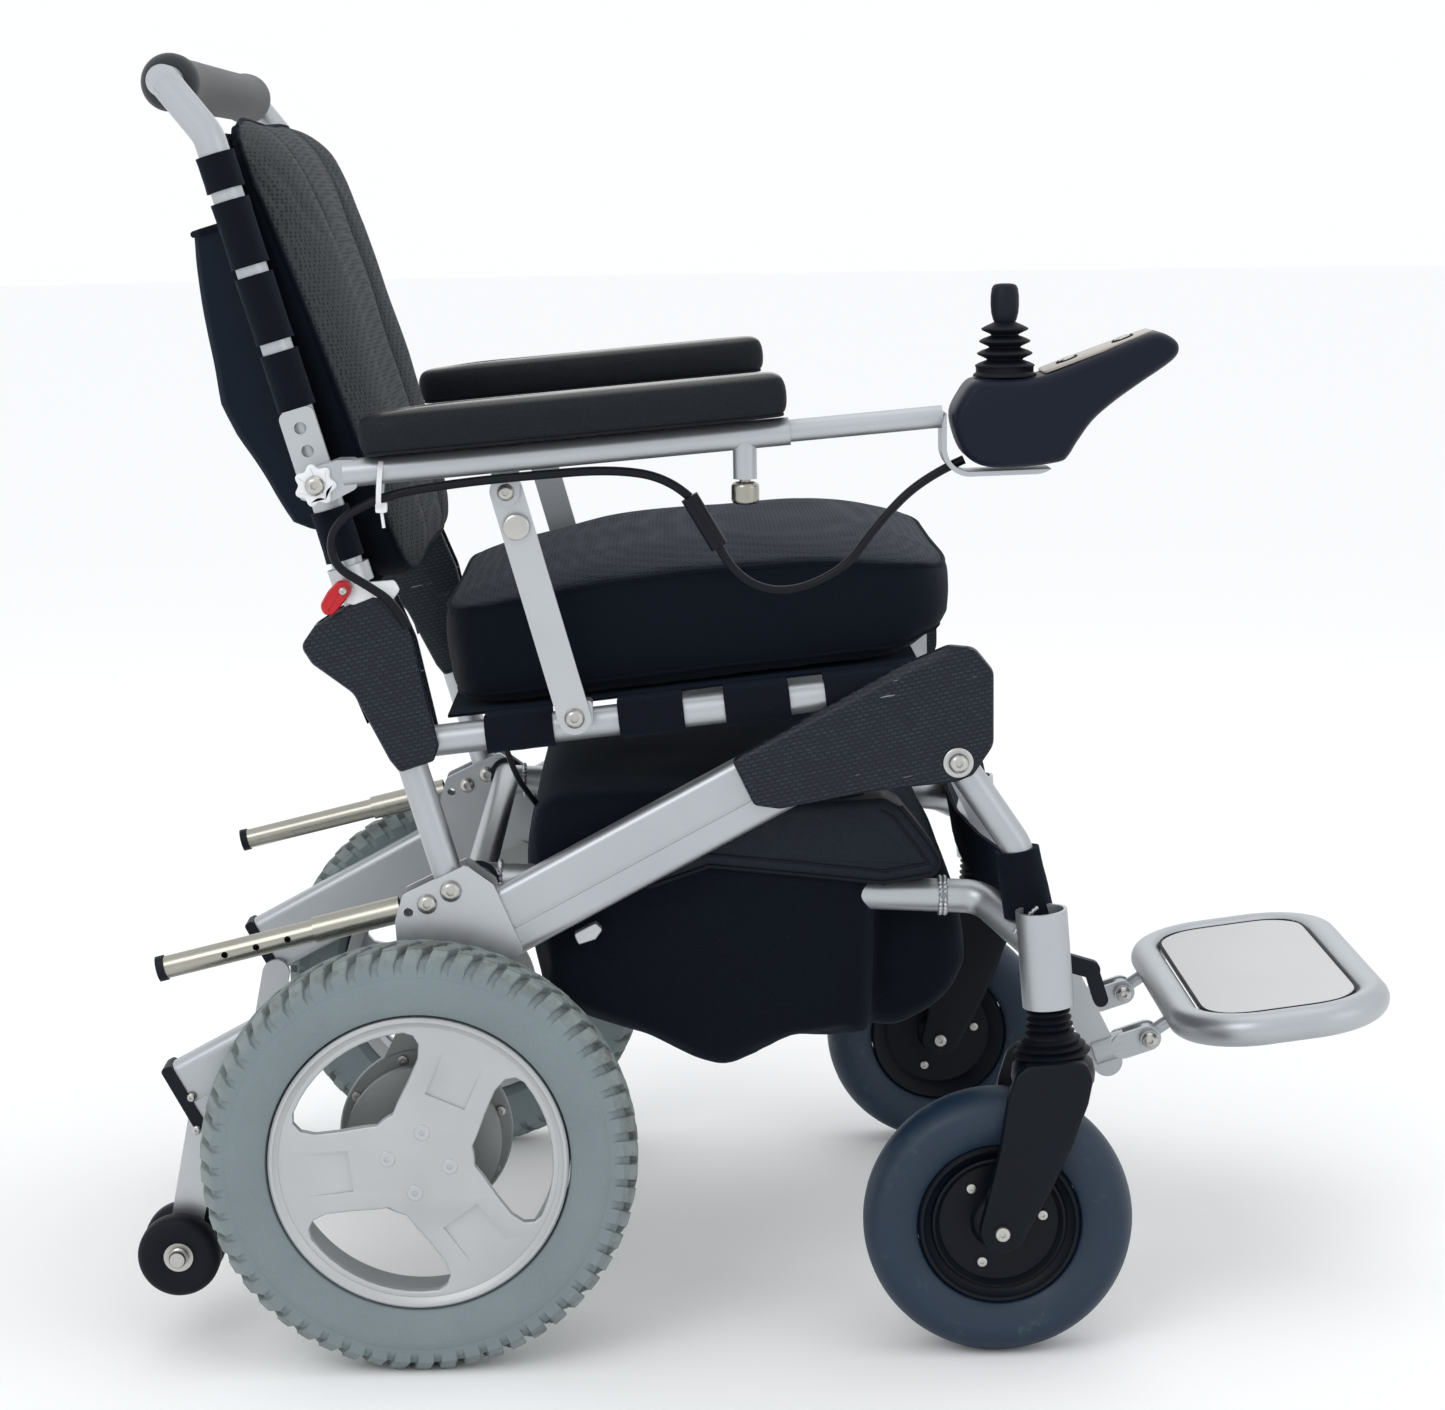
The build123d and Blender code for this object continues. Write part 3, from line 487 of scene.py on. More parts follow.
# pieces
def addPiece(name, mesh, finish, body, node=(), sharp=38):
    mesh.materials.clear()
    mesh.materials.append(finishes[finish].material)
    if sharp:
        mesh.shade_smooth()
        mesh.set_sharp_from_angle(angle=radians(sharp))
    piece = bpy.data.objects.new(name, mesh)
    bpy.context.collection.objects.link(piece)
    if body:
        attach(piece, body)
    if node:
        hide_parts(*([node] if isinstance(node, str) else node))
    return piece


def meshFrom(name, points, faces, merge=0.00002):
    bm = bmesh.new()
    corners = [bm.verts.new(point) for point in points]
    for face in faces:
        if len(set(face)) > 2:
            try:
                bm.faces.new([corners[i] for i in face])
            except ValueError:
                pass
    bmesh.ops.remove_doubles(bm, verts=bm.verts, dist=merge)
    bmesh.ops.recalc_face_normals(bm, faces=bm.faces)
    mesh = bpy.data.meshes.new(name)
    bm.to_mesh(mesh)
    bm.free()
    return mesh


def settle(piece):
    # turns the live modifiers of a piece into plain mesh
    deps = bpy.context.evaluated_depsgraph_get()
    mesh = bpy.data.meshes.new_from_object(piece.evaluated_get(deps))
    old = piece.data
    piece.modifiers.clear()
    piece.data = mesh
    if isinstance(old, bpy.types.Mesh):
        bpy.data.meshes.remove(old)
    return piece


def joinMeshes(name, meshes):
    bm = bmesh.new()
    for mesh in meshes:
        bm.from_mesh(mesh)
        bpy.data.meshes.remove(mesh)
    joined = bpy.data.meshes.new(name)
    bm.to_mesh(joined)
    bm.free()
    return joined


def loft(rings, caps=True, closed=True):
    # joins rings of equal length, and closes the ends
    count = len(rings[0])
    points = [point for ring in rings for point in ring]
    faces = []
    for number in range(len(rings) - 1):
        for place in range(count if closed else count - 1):
            after = (place + 1) % count
            faces.append((number * count + place, number * count + after,
                          (number + 1) * count + after, (number + 1) * count + place))
    if caps:
        faces.append(tuple(range(count)))
        faces.append(tuple(range((len(rings) - 1) * count, len(rings) * count)))
    return meshFrom("loft", points, faces)


def lathe(profile, middle, axis, steps=64, looped=False):
    # spins (radius, distance along the axis) pairs, in millimetres
    axis = Vector(axis).normalized()
    side = axis.orthogonal().normalized()
    other = axis.cross(side)
    rings = []
    for radius, reach in profile + (profile[:1] if looped else []):
        ring = []
        for number in range(steps):
            turn = 2 * pi * number / steps
            ring.append(middle + axis * (reach / 1000) + (side * cos(turn) + other * sin(turn)) *
                        (radius / 1000))
        rings.append(ring)
    return loft(rings, caps=not looped)


def roundCorners(outline, radius, steps=5):
    # replaces each corner of a closed outline by an arc; radius may be one number or one for each corner
    result = []
    count = len(outline)
    for number, corner in enumerate(outline):
        size = radius[number] if isinstance(radius, (list, tuple)) else radius
        here = Vector(corner)
        before = Vector(outline[number - 1]) - here
        after = Vector(outline[(number + 1) % count]) - here
        angle = before.angle(after)
        reach = min(size / tan(angle / 2), before.length * 0.48, after.length * 0.48)
        if angle > radians(172) or size <= 0:
            result.append(tuple(here))
            continue
        start = here + before.normalized() * reach
        end = here + after.normalized() * reach
        for step in range(steps + 1):
            share = step / steps
            result.append(tuple(start * (1 - share) ** 2 + here * 2 * share * (1 - share) + end * share ** 2))
    return result


def inset(outline, amount):
    # moves a closed outline inwards along its normals
    area = sum(a[0] * b[1] - b[0] * a[1] for a, b in zip(outline, outline[1:] + outline[:1]))
    turn = 1 if area > 0 else -1
    result = []
    count = len(outline)
    for number, point in enumerate(outline):
        before = Vector(outline[number - 1])
        after = Vector(outline[(number + 1) % count])
        run = (after - before).normalized()
        result.append((point[0] - run.y * amount * turn, point[1] + run.x * amount * turn))
    return result


def shell(outline, layers):
    # stacks the outline across the chair: layers are (y, how far inwards)
    rings = []
    for y, amount in layers:
        rings.append([at(x, z, y) for x, z in inset(outline, amount)])
    return loft(rings)


def tubeAlong(points, radius, steps=16, caps=True, flat=1.0, up=None):
    # a tube that follows points in metres; radius may be a list
    rings = []
    normal = None
    for number, point in enumerate(points):
        before = points[max(number - 1, 0)]
        after = points[min(number + 1, len(points) - 1)]
        run = (after - before).normalized()
        if normal is None:
            normal = (up or run.orthogonal()).copy()
        normal = (normal - run * normal.dot(run)).normalized()
        other = run.cross(normal)
        size = (radius[number] if isinstance(radius, list) else radius) / 1000
        rings.append([point + normal * cos(2 * pi * s / steps) * size +
                      other * sin(2 * pi * s / steps) * size * flat for s in range(steps)])
    return loft(rings, caps=caps)


def smoothPath(points, steps=8, closed=False):
    # a curve through the points
    result = []
    count = len(points)
    for number in range(count if closed else count - 1):
        p = [points[(number + k) % count] if closed else points[min(max(number + k, 0), count - 1)]
             for k in (-1, 0, 1, 2)]
        for step in range(steps):
            t = step / steps
            result.append(0.5 * (2 * p[1] + (p[2] - p[0]) * t + (2 * p[0] - 5 * p[1] + 4 * p[2] - p[3]) *
                                 t ** 2 +
                                 (3 * p[1] - p[0] - 3 * p[2] + p[3]) * t ** 3))
    if not closed:
        result.append(points[-1])
    return result


# cords
def makeCord(name, points, diameter, body, node, **facts):
    data = bpy.data.curves.new(name, "CURVE")
    data.dimensions = "3D"
    data.bevel_depth = diameter / 2000
    data.bevel_resolution = 6
    data.resolution_u = 16
    data.use_fill_caps = True
    spline = data.splines.new("NURBS")
    spline.points.add(len(points) - 1)
    for place, point in zip(spline.points, points):
        place.co = (*at(*point), 1)
    spline.order_u = 3
    spline.use_endpoint_u = True
    data.materials.append(finishes["cableJacket"].material)
    piece = bpy.data.objects.new(name, data)
    bpy.context.collection.objects.link(piece)
    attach(piece, body)
    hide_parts(node)
    at(*points[0])


# places are (forward of the rear axle, height, across)
frontCable = {"diameter": 6.5, "length": 0.227,
              "points": [(401, 665.4, -272), (372, 653, -272), (340, 622, -275), (316, 588, -275),
                         (272, 570, -275), (236, 584, -275), (226, 606, -275)]}
rearCable = {"diameter": 6.5, "length": 0.367,
             "points": [(205, 642, -275), (190, 656, -276), (150, 662.5, -275), (94, 659, -276),
                        (38, 654, -275), (-14, 646, -275), (-50, 626, -269), (-52, 596, -263),
                        (-26, 580, -262), (-8, 566, -255), (0, 548, -252.5)]}
seatCable = {"diameter": 4.5, "length": 0.117,
             "points": [(60, 470, -196), (70, 432, -198), (84, 404, -170), (100, 376, -150)]}
makeCord("controllerCable", frontCable["points"], frontCable["diameter"], "armrest_right", "front_cable",
         length=frontCable["length"], far_end="connector", stiffness="medium", lay="hanging",
         with_pieces=[nodes["cable_plug"]])
makeCord("backCable", rearCable["points"], rearCable["diameter"], "armrest_right", "rear_cable",
         length=rearCable["length"], far_end="object", stiffness="medium", lay="hanging")
makeCord("batteryCable", seatCable["points"], seatCable["diameter"], "chair_frame", "seat_cable",
         length=seatCable["length"], far_end="object", stiffness="medium", lay="hanging")
print("cords made")

# repeated parts, by Geometry Nodes
def newTree(name, sockets):
    tree = bpy.data.node_groups.new(name, "GeometryNodeTree")
    tree.interface.new_socket("Geometry", in_out="INPUT", socket_type="NodeSocketGeometry")
    for label, kind, value in sockets:
        socket = tree.interface.new_socket(label, in_out="INPUT", socket_type=kind)
        if value is not None:
            socket.default_value = value
    tree.interface.new_socket("Geometry", in_out="OUTPUT", socket_type="NodeSocketGeometry")
    return tree, tree.nodes.new("NodeGroupInput"), tree.nodes.new("NodeGroupOutput")


def treeNode(tree, kind, inputs=None, **settings):
    node = tree.nodes.new(kind)
    for key, value in settings.items():
        setattr(node, key, value)
    for key, value in (inputs or {}).items():
        if isinstance(value, bpy.types.NodeSocket):
            tree.links.new(value, node.inputs[key])
        else:
            node.inputs[key].default_value = value
    return node


def finishTree(tree, geometry, source, sink):
    real = treeNode(tree, "GeometryNodeRealizeInstances", {0: geometry})
    coat = treeNode(tree, "GeometryNodeSetMaterial",
                    {0: real.outputs[0], "Material": source.outputs["Finish"]})
    tree.links.new(coat.outputs[0], sink.inputs[0])
    return tree


def ringTree():
    # turns copies of the mesh about an axis through a centre, a little uneven if asked
    tree, source, sink = newTree("ringOfCopies", [
        ("Count", "NodeSocketInt", 12), ("Centre", "NodeSocketVector", None),
        ("Axis", "NodeSocketVector", None),
        ("First Turn", "NodeSocketFloat", 0.0), ("Uneven", "NodeSocketFloat", 0.0),
        ("Seed", "NodeSocketInt", 4),
        ("Finish", "NodeSocketMaterial", None)])
    moved = treeNode(tree, "ShaderNodeVectorMath", {0: (0, 0, 0), 1: source.outputs["Centre"]},
                     operation="SUBTRACT")
    body = treeNode(tree, "GeometryNodeSetPosition", {0: source.outputs[0], "Offset": moved.outputs[0]})
    line = treeNode(tree, "GeometryNodeMeshLine", {"Count": source.outputs["Count"], "Offset": (0, 0, 0)})
    where = treeNode(tree, "GeometryNodeSetPosition",
                     {0: line.outputs[0], "Offset": source.outputs["Centre"]})
    index = treeNode(tree, "GeometryNodeInputIndex")
    share = treeNode(tree, "ShaderNodeMath", {0: index.outputs[0], 1: source.outputs["Count"]},
                     operation="DIVIDE")
    turn = treeNode(tree, "ShaderNodeMath", {0: share.outputs[0], 1: 2 * pi, 2: source.outputs["First Turn"]},
                    operation="MULTIPLY_ADD")
    chance = treeNode(tree, "FunctionNodeRandomValue", {2: -1.0, 3: 1.0, "Seed": source.outputs["Seed"]},
                      data_type="FLOAT")
    loose = treeNode(tree, "ShaderNodeMath",
                     {0: chance.outputs[1], 1: source.outputs["Uneven"], 2: turn.outputs[0]},
                     operation="MULTIPLY_ADD")
    spun = treeNode(tree, "FunctionNodeAxisAngleToRotation", {"Axis": source.outputs["Axis"],
                                                              "Angle": loose.outputs[0]})
    copies = treeNode(tree, "GeometryNodeInstanceOnPoints",
                      {"Points": where.outputs[0], "Instance": body.outputs[0],
                       "Rotation": spun.outputs[0]})
    return finishTree(tree, copies.outputs[0], source, sink)


def spotTree():
    # sets the mesh at each spot, turned to the spot's direction and scaled to its size
    tree, source, sink = newTree("copiesAtSpots", [
        ("Spots", "NodeSocketObject", None), ("Seed", "NodeSocketInt", 7),
        ("Finish", "NodeSocketMaterial", None)])
    spots = treeNode(tree, "GeometryNodeObjectInfo", {"Object": source.outputs["Spots"]})
    facing = treeNode(tree, "GeometryNodeInputNamedAttribute", {"Name": "facing"}, data_type="FLOAT_VECTOR")
    size = treeNode(tree, "GeometryNodeInputNamedAttribute", {"Name": "size"}, data_type="FLOAT")
    aimed = treeNode(tree, "FunctionNodeAlignRotationToVector", {"Vector": facing.outputs[0]}, axis="Z")
    chance = treeNode(tree, "FunctionNodeRandomValue", {2: 0.0, 3: 1.0, "Seed": source.outputs["Seed"]},
                      data_type="FLOAT")
    spin = treeNode(tree, "FunctionNodeAxisAngleToRotation", {"Axis": (0, 0, 1), "Angle": chance.outputs[1]})
    turned = treeNode(tree, "FunctionNodeRotateRotation", {0: aimed.outputs[0], 1: spin.outputs[0]},
                      rotation_space="LOCAL")
    copies = treeNode(tree, "GeometryNodeInstanceOnPoints",
                      {"Points": spots.outputs["Geometry"], "Instance": source.outputs[0],
                       "Rotation": turned.outputs[0], "Scale": size.outputs[0]})
    return finishTree(tree, copies.outputs[0], source, sink)


def stitchTree():
    # lays short stitches end to end along a seam line
    tree, source, sink = newTree("stitchRow", [
        ("Pitch", "NodeSocketFloat", 0.004), ("Length", "NodeSocketFloat", 0.0028),
        ("Thickness", "NodeSocketFloat", 0.0007), ("Finish", "NodeSocketMaterial", None)])
    line = treeNode(tree, "GeometryNodeMeshToCurve", {0: source.outputs[0]})
    dots = treeNode(tree, "GeometryNodeCurveToPoints",
                    {0: line.outputs[0], "Length": source.outputs["Pitch"]}, mode="LENGTH")
    thread = treeNode(tree, "GeometryNodeMeshCylinder",
                      {"Vertices": 6, "Side Segments": 1, "Radius": source.outputs["Thickness"],
                       "Depth": source.outputs["Length"]}, fill_type="TRIANGLE_FAN")
    aimed = treeNode(tree, "FunctionNodeAlignRotationToVector", {"Vector": dots.outputs["Tangent"]}, axis="Z")
    copies = treeNode(tree, "GeometryNodeInstanceOnPoints",
                      {"Points": dots.outputs[0], "Instance": thread.outputs[0],
                       "Rotation": aimed.outputs[0]})
    return finishTree(tree, copies.outputs[0], source, sink)


trees = {"ring": ringTree(), "spots": spotTree(), "stitches": stitchTree()}


def runTree(name, mesh, treeName, finish, values, body=None, node=(), sharp=38):
    # gives the tree its inputs, keeps the plain mesh that it makes, and drops the modifier
    holder = bpy.data.objects.new(name + "Holder", mesh)
    bpy.context.collection.objects.link(holder)
    modifier = holder.modifiers.new("nodes", "NODES")
    modifier.node_group = trees[treeName]
    sockets = {item.name: item.identifier for item in trees[treeName].interface.items_tree
               if item.item_type == "SOCKET" and item.in_out == "INPUT"}
    for label, value in {**values, "Finish": finishes[finish].material}.items():
        modifier[sockets[label]] = value
    deps = bpy.context.evaluated_depsgraph_get()
    made = bpy.data.meshes.new_from_object(holder.evaluated_get(deps))
    bpy.data.objects.remove(holder)
    bpy.data.meshes.remove(mesh)
    made.name = name
    return addPiece(name, made, finish, body, node, sharp) if body else made


def spotsMesh(spots):
    # spots are (point, direction, size)
    mesh = bpy.data.meshes.new("spots")
    mesh.from_pydata([spot[0] for spot in spots], [], [])
    mesh.attributes.new("facing", "FLOAT_VECTOR", "POINT")
    mesh.attributes.new("size", "FLOAT", "POINT")
    for number, (_, direction, scale) in enumerate(spots):
        mesh.attributes["facing"].data[number].vector = direction
        mesh.attributes["size"].data[number].value = scale
    return mesh


def socketScrew(head=1.0, kind="button"):
    # a hex-socket head of unit diameter 10 mm: rounded button, or flush countersunk
    steps = 18
    profile = {"button": [(5.0, -0.2), (5.0, 0.9), (4.5, 2.0), (3.6, 2.9), (2.7, 3.3)],
               "cap": [(4.6, -0.2), (5.0, 0.3), (5.0, 3.6), (4.7, 4.0), (2.9, 4.1)],
               "flush": [(5.0, -0.6), (5.0, 0.1), (4.7, 0.35), (2.9, 0.35)],
               "nut": [(5.0, -0.2), (5.0, 2.2), (4.4, 3.0), (2.6, 3.4)]}[kind]
    points = []
    for radius, height in profile:
        for number in range(steps):
            turn = 2 * pi * number / steps
            points.append(Vector((cos(turn) * radius, sin(turn) * radius, height)) * head / 1000)
    depth = {"button": 1.2, "cap": 1.6, "flush": -1.6, "nut": 2.0}[kind]
    for height in (profile[-1][1], depth):
        for number in range(steps):
            turn = 2 * pi * number / steps
            around = (turn % (pi / 3)) - pi / 6
            reach = 2.0 * cos(pi / 6) / cos(around)
            points.append(Vector((cos(turn) * reach, sin(turn) * reach, height)) * head / 1000)
    faces = []
    for ring in range(len(profile) + 1):
        for number in range(steps):
            after = (number + 1) % steps
            faces.append((ring * steps + number, ring * steps + after, (ring + 1) * steps + after,
                          (ring + 1) * steps + number))
    faces.append(tuple((len(profile) + 1) * steps + number for number in range(steps)))
    faces.append(tuple(range(steps)))
    return meshFrom("screw", points, faces, 0.000001)


def screwSet(name, spots, body, kind="button", finish="screwSteel", node=()):
    holder = bpy.data.objects.new("spotHolder", spotsMesh(spots))
    bpy.context.collection.objects.link(holder)
    runTree(name, socketScrew(1.0, kind), "spots", finish,
            {"Spots": holder, "Seed": len(spots) + 3}, body, node)
    bpy.data.objects.remove(holder)


# rear wheels
rearTyre = {"crown": 153.5, "reach": 160.0, "halfWidth": 27.0, "bead": 111.4, "shoulderBlocks": 54,
            "innerBlocks": 54}


def wheelMiddle(side):
    low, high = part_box("rear_tyre_" + side)
    return (low + high) / 2


def makeRearTyre(side, t):
    middle = wheelMiddle(side)
    out = -1 if side == "right" else 1
    h, c = t["halfWidth"], t["crown"]
    profile = [(t["bead"], -15), (t["bead"] - 0.6, 17), (t["bead"] + 0.4, 20.2), (t["bead"] + 3, 22.0),
               (118, 23.6), (125, 25.6), (133, h - 0.4), (139, h - 0.2), (140.4, h - 1.0), (142, h - 0.8),
               (146, h - 2.2), (149.5, h - 4.6), (c - 1.2, h - 8), (c, h - 14), (c + 0.6, 0), (c, -h + 14),
               (c - 1.2, -h + 8), (149.5, -h + 4.6), (146, -h + 2.2), (142, -h + 0.8), (140.4, -h + 1.0),
               (139, -h + 0.2), (133, -h + 0.4), (125, -25.6), (118, -23.6)]
    wall = lathe(profile, middle, (0, out, 0), 160, looped=True)

    def block(yRange, low, high, arc, slant, lean=0.0):
        # one tread block: a tapered lump on the crown
        corners = []
        for radius, shrink in ((low, 1.0), (high - 0.9, 0.94), (high, 0.8)):
            for y, z in ((0, -1), (0, 1), (1, 1), (1, -1)):
                across = (yRange[0] + yRange[1]) / 2 + (yRange[1] - yRange[0]) / 2 * (1 if y else -1) * shrink
                drop = lean * (1 if y else 0)
                turn = z * arc * shrink / 2 + slant * (1 if y else -1)
                r = (radius - drop) / 1000
                corners.append(middle + Vector((cos(turn) * r, out * across / 1000, sin(turn) * r)))
        return loft([corners[0:4], corners[4:8], corners[8:12]])

    step = 2 * pi / t["shoulderBlocks"]
    meshes = [wall]
    for sign in (-1, 1):
        lump = block((sign * 13.5, sign * 26.2), 143, t["reach"] - 0.6, step * 0.68, 0.012 * sign, 8.5)
        meshes.append(runTree("lump", lump, "ring", "rearRubber", {
            "Count": t["shoulderBlocks"], "Centre": middle, "Axis": (0, 1, 0),
            "First Turn": step * 0.25 * (1 + sign),
            "Uneven": 0.002}))
        inner = block((sign * 1.2, sign * 12.0), 150, t["reach"], step * 0.62, 0.02 * sign)
        meshes.append(runTree("lump", inner, "ring", "rearRubber", {
            "Count": t["innerBlocks"], "Centre": middle, "Axis": (0, 1, 0),
            "First Turn": step * 0.25 * (2 + sign),
            "Uneven": 0.002}))
    addPiece("rearTyre_" + side, joinMeshes("rearTyre_" + side, meshes), "rearRubber", "rear_wheel_" + side,
             "rear_tyre_" + side, 32)


rearRim = {"radius": 110.0, "face": 18.0, "thickness": 8.0, "windowIn": 41.0, "windowOut": 98.0,
           "screwCircle": 23.0}


def windowOutline(turn, r):
    # a fan-shaped opening between two spokes, narrow at the hub
    edge = [(r["windowIn"], 10), (r["windowIn"] + 7, 19), (r["windowIn"] + 20, 30), (r["windowOut"] - 20, 37),
            (r["windowOut"] - 9, 37.5), (r["windowOut"] - 2.5, 35), (r["windowOut"], 31)]
    points = [(reach, -angle) for reach, angle in edge]
    points += [(r["windowOut"], angle) for angle in range(-24, 25, 6)]
    points += [(reach, angle) for reach, angle in reversed(edge)]
    points += [(r["windowIn"], angle) for angle in (5, 0, -5)]
    return [(cos(radians(turn + angle)) * reach, sin(radians(turn + angle)) * reach)
            for reach, angle in points]


def flatPlate(outlines, low, high, bevel):
    # a plate with openings, lying in XY, from a filled curve
    data = bpy.data.curves.new("plateCurve", "CURVE")
    data.dimensions = "2D"
    data.fill_mode = "BOTH"
    data.extrude = (high - low) / 2000 - bevel / 1000
    data.bevel_depth = bevel / 1000
    data.bevel_resolution = 3
    data.offset = -bevel / 1000
    for outline in outlines:
        spline = data.splines.new("POLY")
        spline.points.add(len(outline) - 1)
        spline.use_cyclic_u = True
        for place, (x, y) in zip(spline.points, outline):
            place.co = (x / 1000, y / 1000, 0, 1)
    holder = bpy.data.objects.new("plateHolder", data)
    bpy.context.collection.objects.link(holder)
    deps = bpy.context.evaluated_depsgraph_get()
    mesh = bpy.data.meshes.new_from_object(holder.evaluated_get(deps))
    bpy.data.objects.remove(holder)
    mesh.transform(Matrix.Translation((0, 0, (low + high) / 2000)))
    return mesh


def makeRearRim(side, r):
    middle = wheelMiddle(side)
    out = -1 if side == "right" else 1
    circle = [(cos(2 * pi * s / 128) * 103.5, sin(2 * pi * s / 128) * 103.5) for s in range(128)]
    windows = [windowOutline(turn, r) for turn in (6, 126, 246)]
    plateMesh = flatPlate([circle] + windows, r["face"] - r["thickness"], r["face"], 1.6)
    wells = []
    for turn in (66, 186, 306):
        # shallow wedge-shaped well on each spoke, deep at the hub end and running out at the rim
        well = []
        for along, depth in ((50, 2.6), (60, 2.0), (92, -0.6)):
            well.append([Vector((along, y, r["face"] + z)) / 1000 for y, z in
                         ((-15.5, 3), (-15.5, -depth), (15.5, -depth), (15.5, 3))])
        mesh = loft(well)
        mesh.transform(Matrix.Rotation(radians(turn), 4, "Z"))
        wells.append(mesh)
    holder = bpy.data.objects.new("rimHolder", plateMesh)
    cutter = bpy.data.objects.new("wellHolder", joinMeshes("wells", wells))
    for item in (holder, cutter):
        bpy.context.collection.objects.link(item)
    trim = holder.modifiers.new("wells", "BOOLEAN")
    trim.operation = "DIFFERENCE"
    trim.object = cutter
    trim.solver = "EXACT"
    soften = holder.modifiers.new("edges", "BEVEL")
    soften.width = 0.0006
    soften.segments = 2
    soften.limit_method = "ANGLE"
    soften.angle_limit = radians(40)
    settle(holder)
    face = holder.data.copy()
    bpy.data.objects.remove(holder)
    bpy.data.objects.remove(cutter)
    # local X, Y, Z become forward, up and outwards
    place = Matrix(((1, 0, 0), (0, 0, out), (0, 1, 0))).to_4x4()
    face.transform(place)
    if side == "right":
        face.flip_normals()
    face.transform(Matrix.Translation(middle))
    barrel = [(104, -19), (109.2, -20.5), (110, -19), (110, 17.5), (109.6, 20.4), (108.2, 21.6),
              (106.4, 21.4), (104.6, 19.6), (102.4, 18.4), (101.4, 16), (101.4, 12), (99, 4), (99, -17)]
    hub = [(0, -17), (33, -17), (35, -14), (36, 11), (30, 11), (0, 11)]
    meshes = [face, lathe(barrel, middle, (0, out, 0), 128, looped=True),
              lathe([(p[0] + 0.01, p[1]) for p in hub], middle, (0, out, 0), 48)]
    addPiece("rearRim_" + side, joinMeshes("rearRim_" + side, meshes), "castAlloy", "rear_wheel_" + side,
             "rear_rim_" + side, 30)
    spots = []
    for turn in (-8, 82, 172, 262):
        reach = r["screwCircle"] / 1000
        spots.append((middle + Vector((cos(radians(turn)) * reach, out * (r["face"] + 0.2) / 1000,
                                       sin(radians(turn)) * reach)), (0, out, 0), 1.16))
    screwSet("hubScrews_" + side, spots, "rear_wheel_" + side, "flush", "plateAlloy")


for wheelSide in ("right", "left"):
    makeRearTyre(wheelSide, rearTyre)
    makeRearRim(wheelSide, rearRim)
print("rear wheels made")

# drive motors
driveMotor = {"flange": 65.0, "screwCircle": 58.5, "screws": 8, "face": -216.0}


def makeMotor(side, m):
    # gearbox face behind the wheel: bolted ring, machined step and a turned dome
    out = -1 if side == "right" else 1
    middle = Vector((axleX, out * -m["face"] / 1000, axleZ))
    face = [(0.01, 26), (9, 26), (11, 24), (30, 22.5), (41, 17), (46, 9), (47.5, 3), (49, 2.2),
            (m["flange"] - 1.2, 2.2),
            (m["flange"], 1), (m["flange"], -6), (m["flange"] - 2, -7), (0.01, -7)]
    ribbed = [(0.01, -62)]
    for number in range(9):
        ribbed += [(45.5, -60 + number * 6), (48, -59 + number * 6), (48, -57 + number * 6),
                   (45.5, -56 + number * 6)]
    ribbed += [(50, -6.5), (0.01, -6.5)]
    meshes = [lathe(face, middle, (0, out, 0), 96), lathe(ribbed, middle, (0, out, 0), 72)]
    addPiece("motorFace_" + side, joinMeshes("motorFace_" + side, meshes), "motorPaint", "chair_frame", (),
             30)
    spots = []
    for number in range(m["screws"]):
        turn = 2 * pi * (number + 0.35) / m["screws"]
        reach = m["screwCircle"] / 1000
        spots.append((middle + Vector((cos(turn) * reach, out * 0.0022, sin(turn) * reach)), (0, out, 0),
                      0.78))
    screwSet("motorScrews_" + side, spots, "chair_frame", "cap")


for wheelSide in ("right", "left"):
    makeMotor(wheelSide, driveMotor)

# casters
caster = {"radius": 100.0, "bead": 60.6, "halfWidth": 25.0, "axle": (426.0, 100.0), "across": 264.0}


def makeCaster(side, c):
    out = -1 if side == "right" else 1
    middle = at(*c["axle"], out * c["across"])
    r, h = c["radius"], c["halfWidth"]
    profile = [(c["bead"], -15), (c["bead"], 15.5), (c["bead"] + 1.2, 17.2), (66, 19.6), (72, 22.6),
               (79, h - 0.6), (86, h), (91.5, h - 2.6), (95.6, h - 7.5), (98.4, h - 13), (99.7, h - 19),
               (r, 0), (99.7, -h + 19), (98.4, -h + 13), (95.6, -h + 7.5), (91.5, -h + 2.6), (86, -h),
               (79, -h + 0.6), (72, -22.6), (66, -19.6), (c["bead"] + 1.2, -17.2)]
    addPiece("casterTyre_" + side, lathe(profile, middle, (0, out, 0), 128, looped=True), "casterRubber",
             "caster_" + side, "caster_tyre_" + side, 60)
    rim = [(0.01, -14), (12, -16), (16, -13), (19, -9), (46, -9), (50, -13), (58.5, -17), (60.2, -15.5),
           (60.2, 16), (58.6, 17.6), (56.4, 17), (53.4, 12.4), (50.4, 11.2), (49.4, 13.4), (47.6, 14),
           (46, 12.2), (44, 9.6), (21, 8.6), (19.4, 11), (17.6, 13.6), (12, 15.4), (0.01, 15.4)]
    addPiece("casterRim_" + side, lathe(rim, middle, (0, out, 0), 96), "forkPlastic", "caster_" + side,
             "caster_rim_" + side, 40)
    spots = []
    for face in (-1, 1):
        for turn in (8, 128, 248):
            spots.append((middle + Vector((cos(radians(turn)) * 0.033, out * face * 0.009,
                                           sin(radians(turn)) * 0.033)),
                          (0, out * face, 0), 0.8))
    screwSet("casterScrews_" + side, spots, "caster_" + side, "nut")


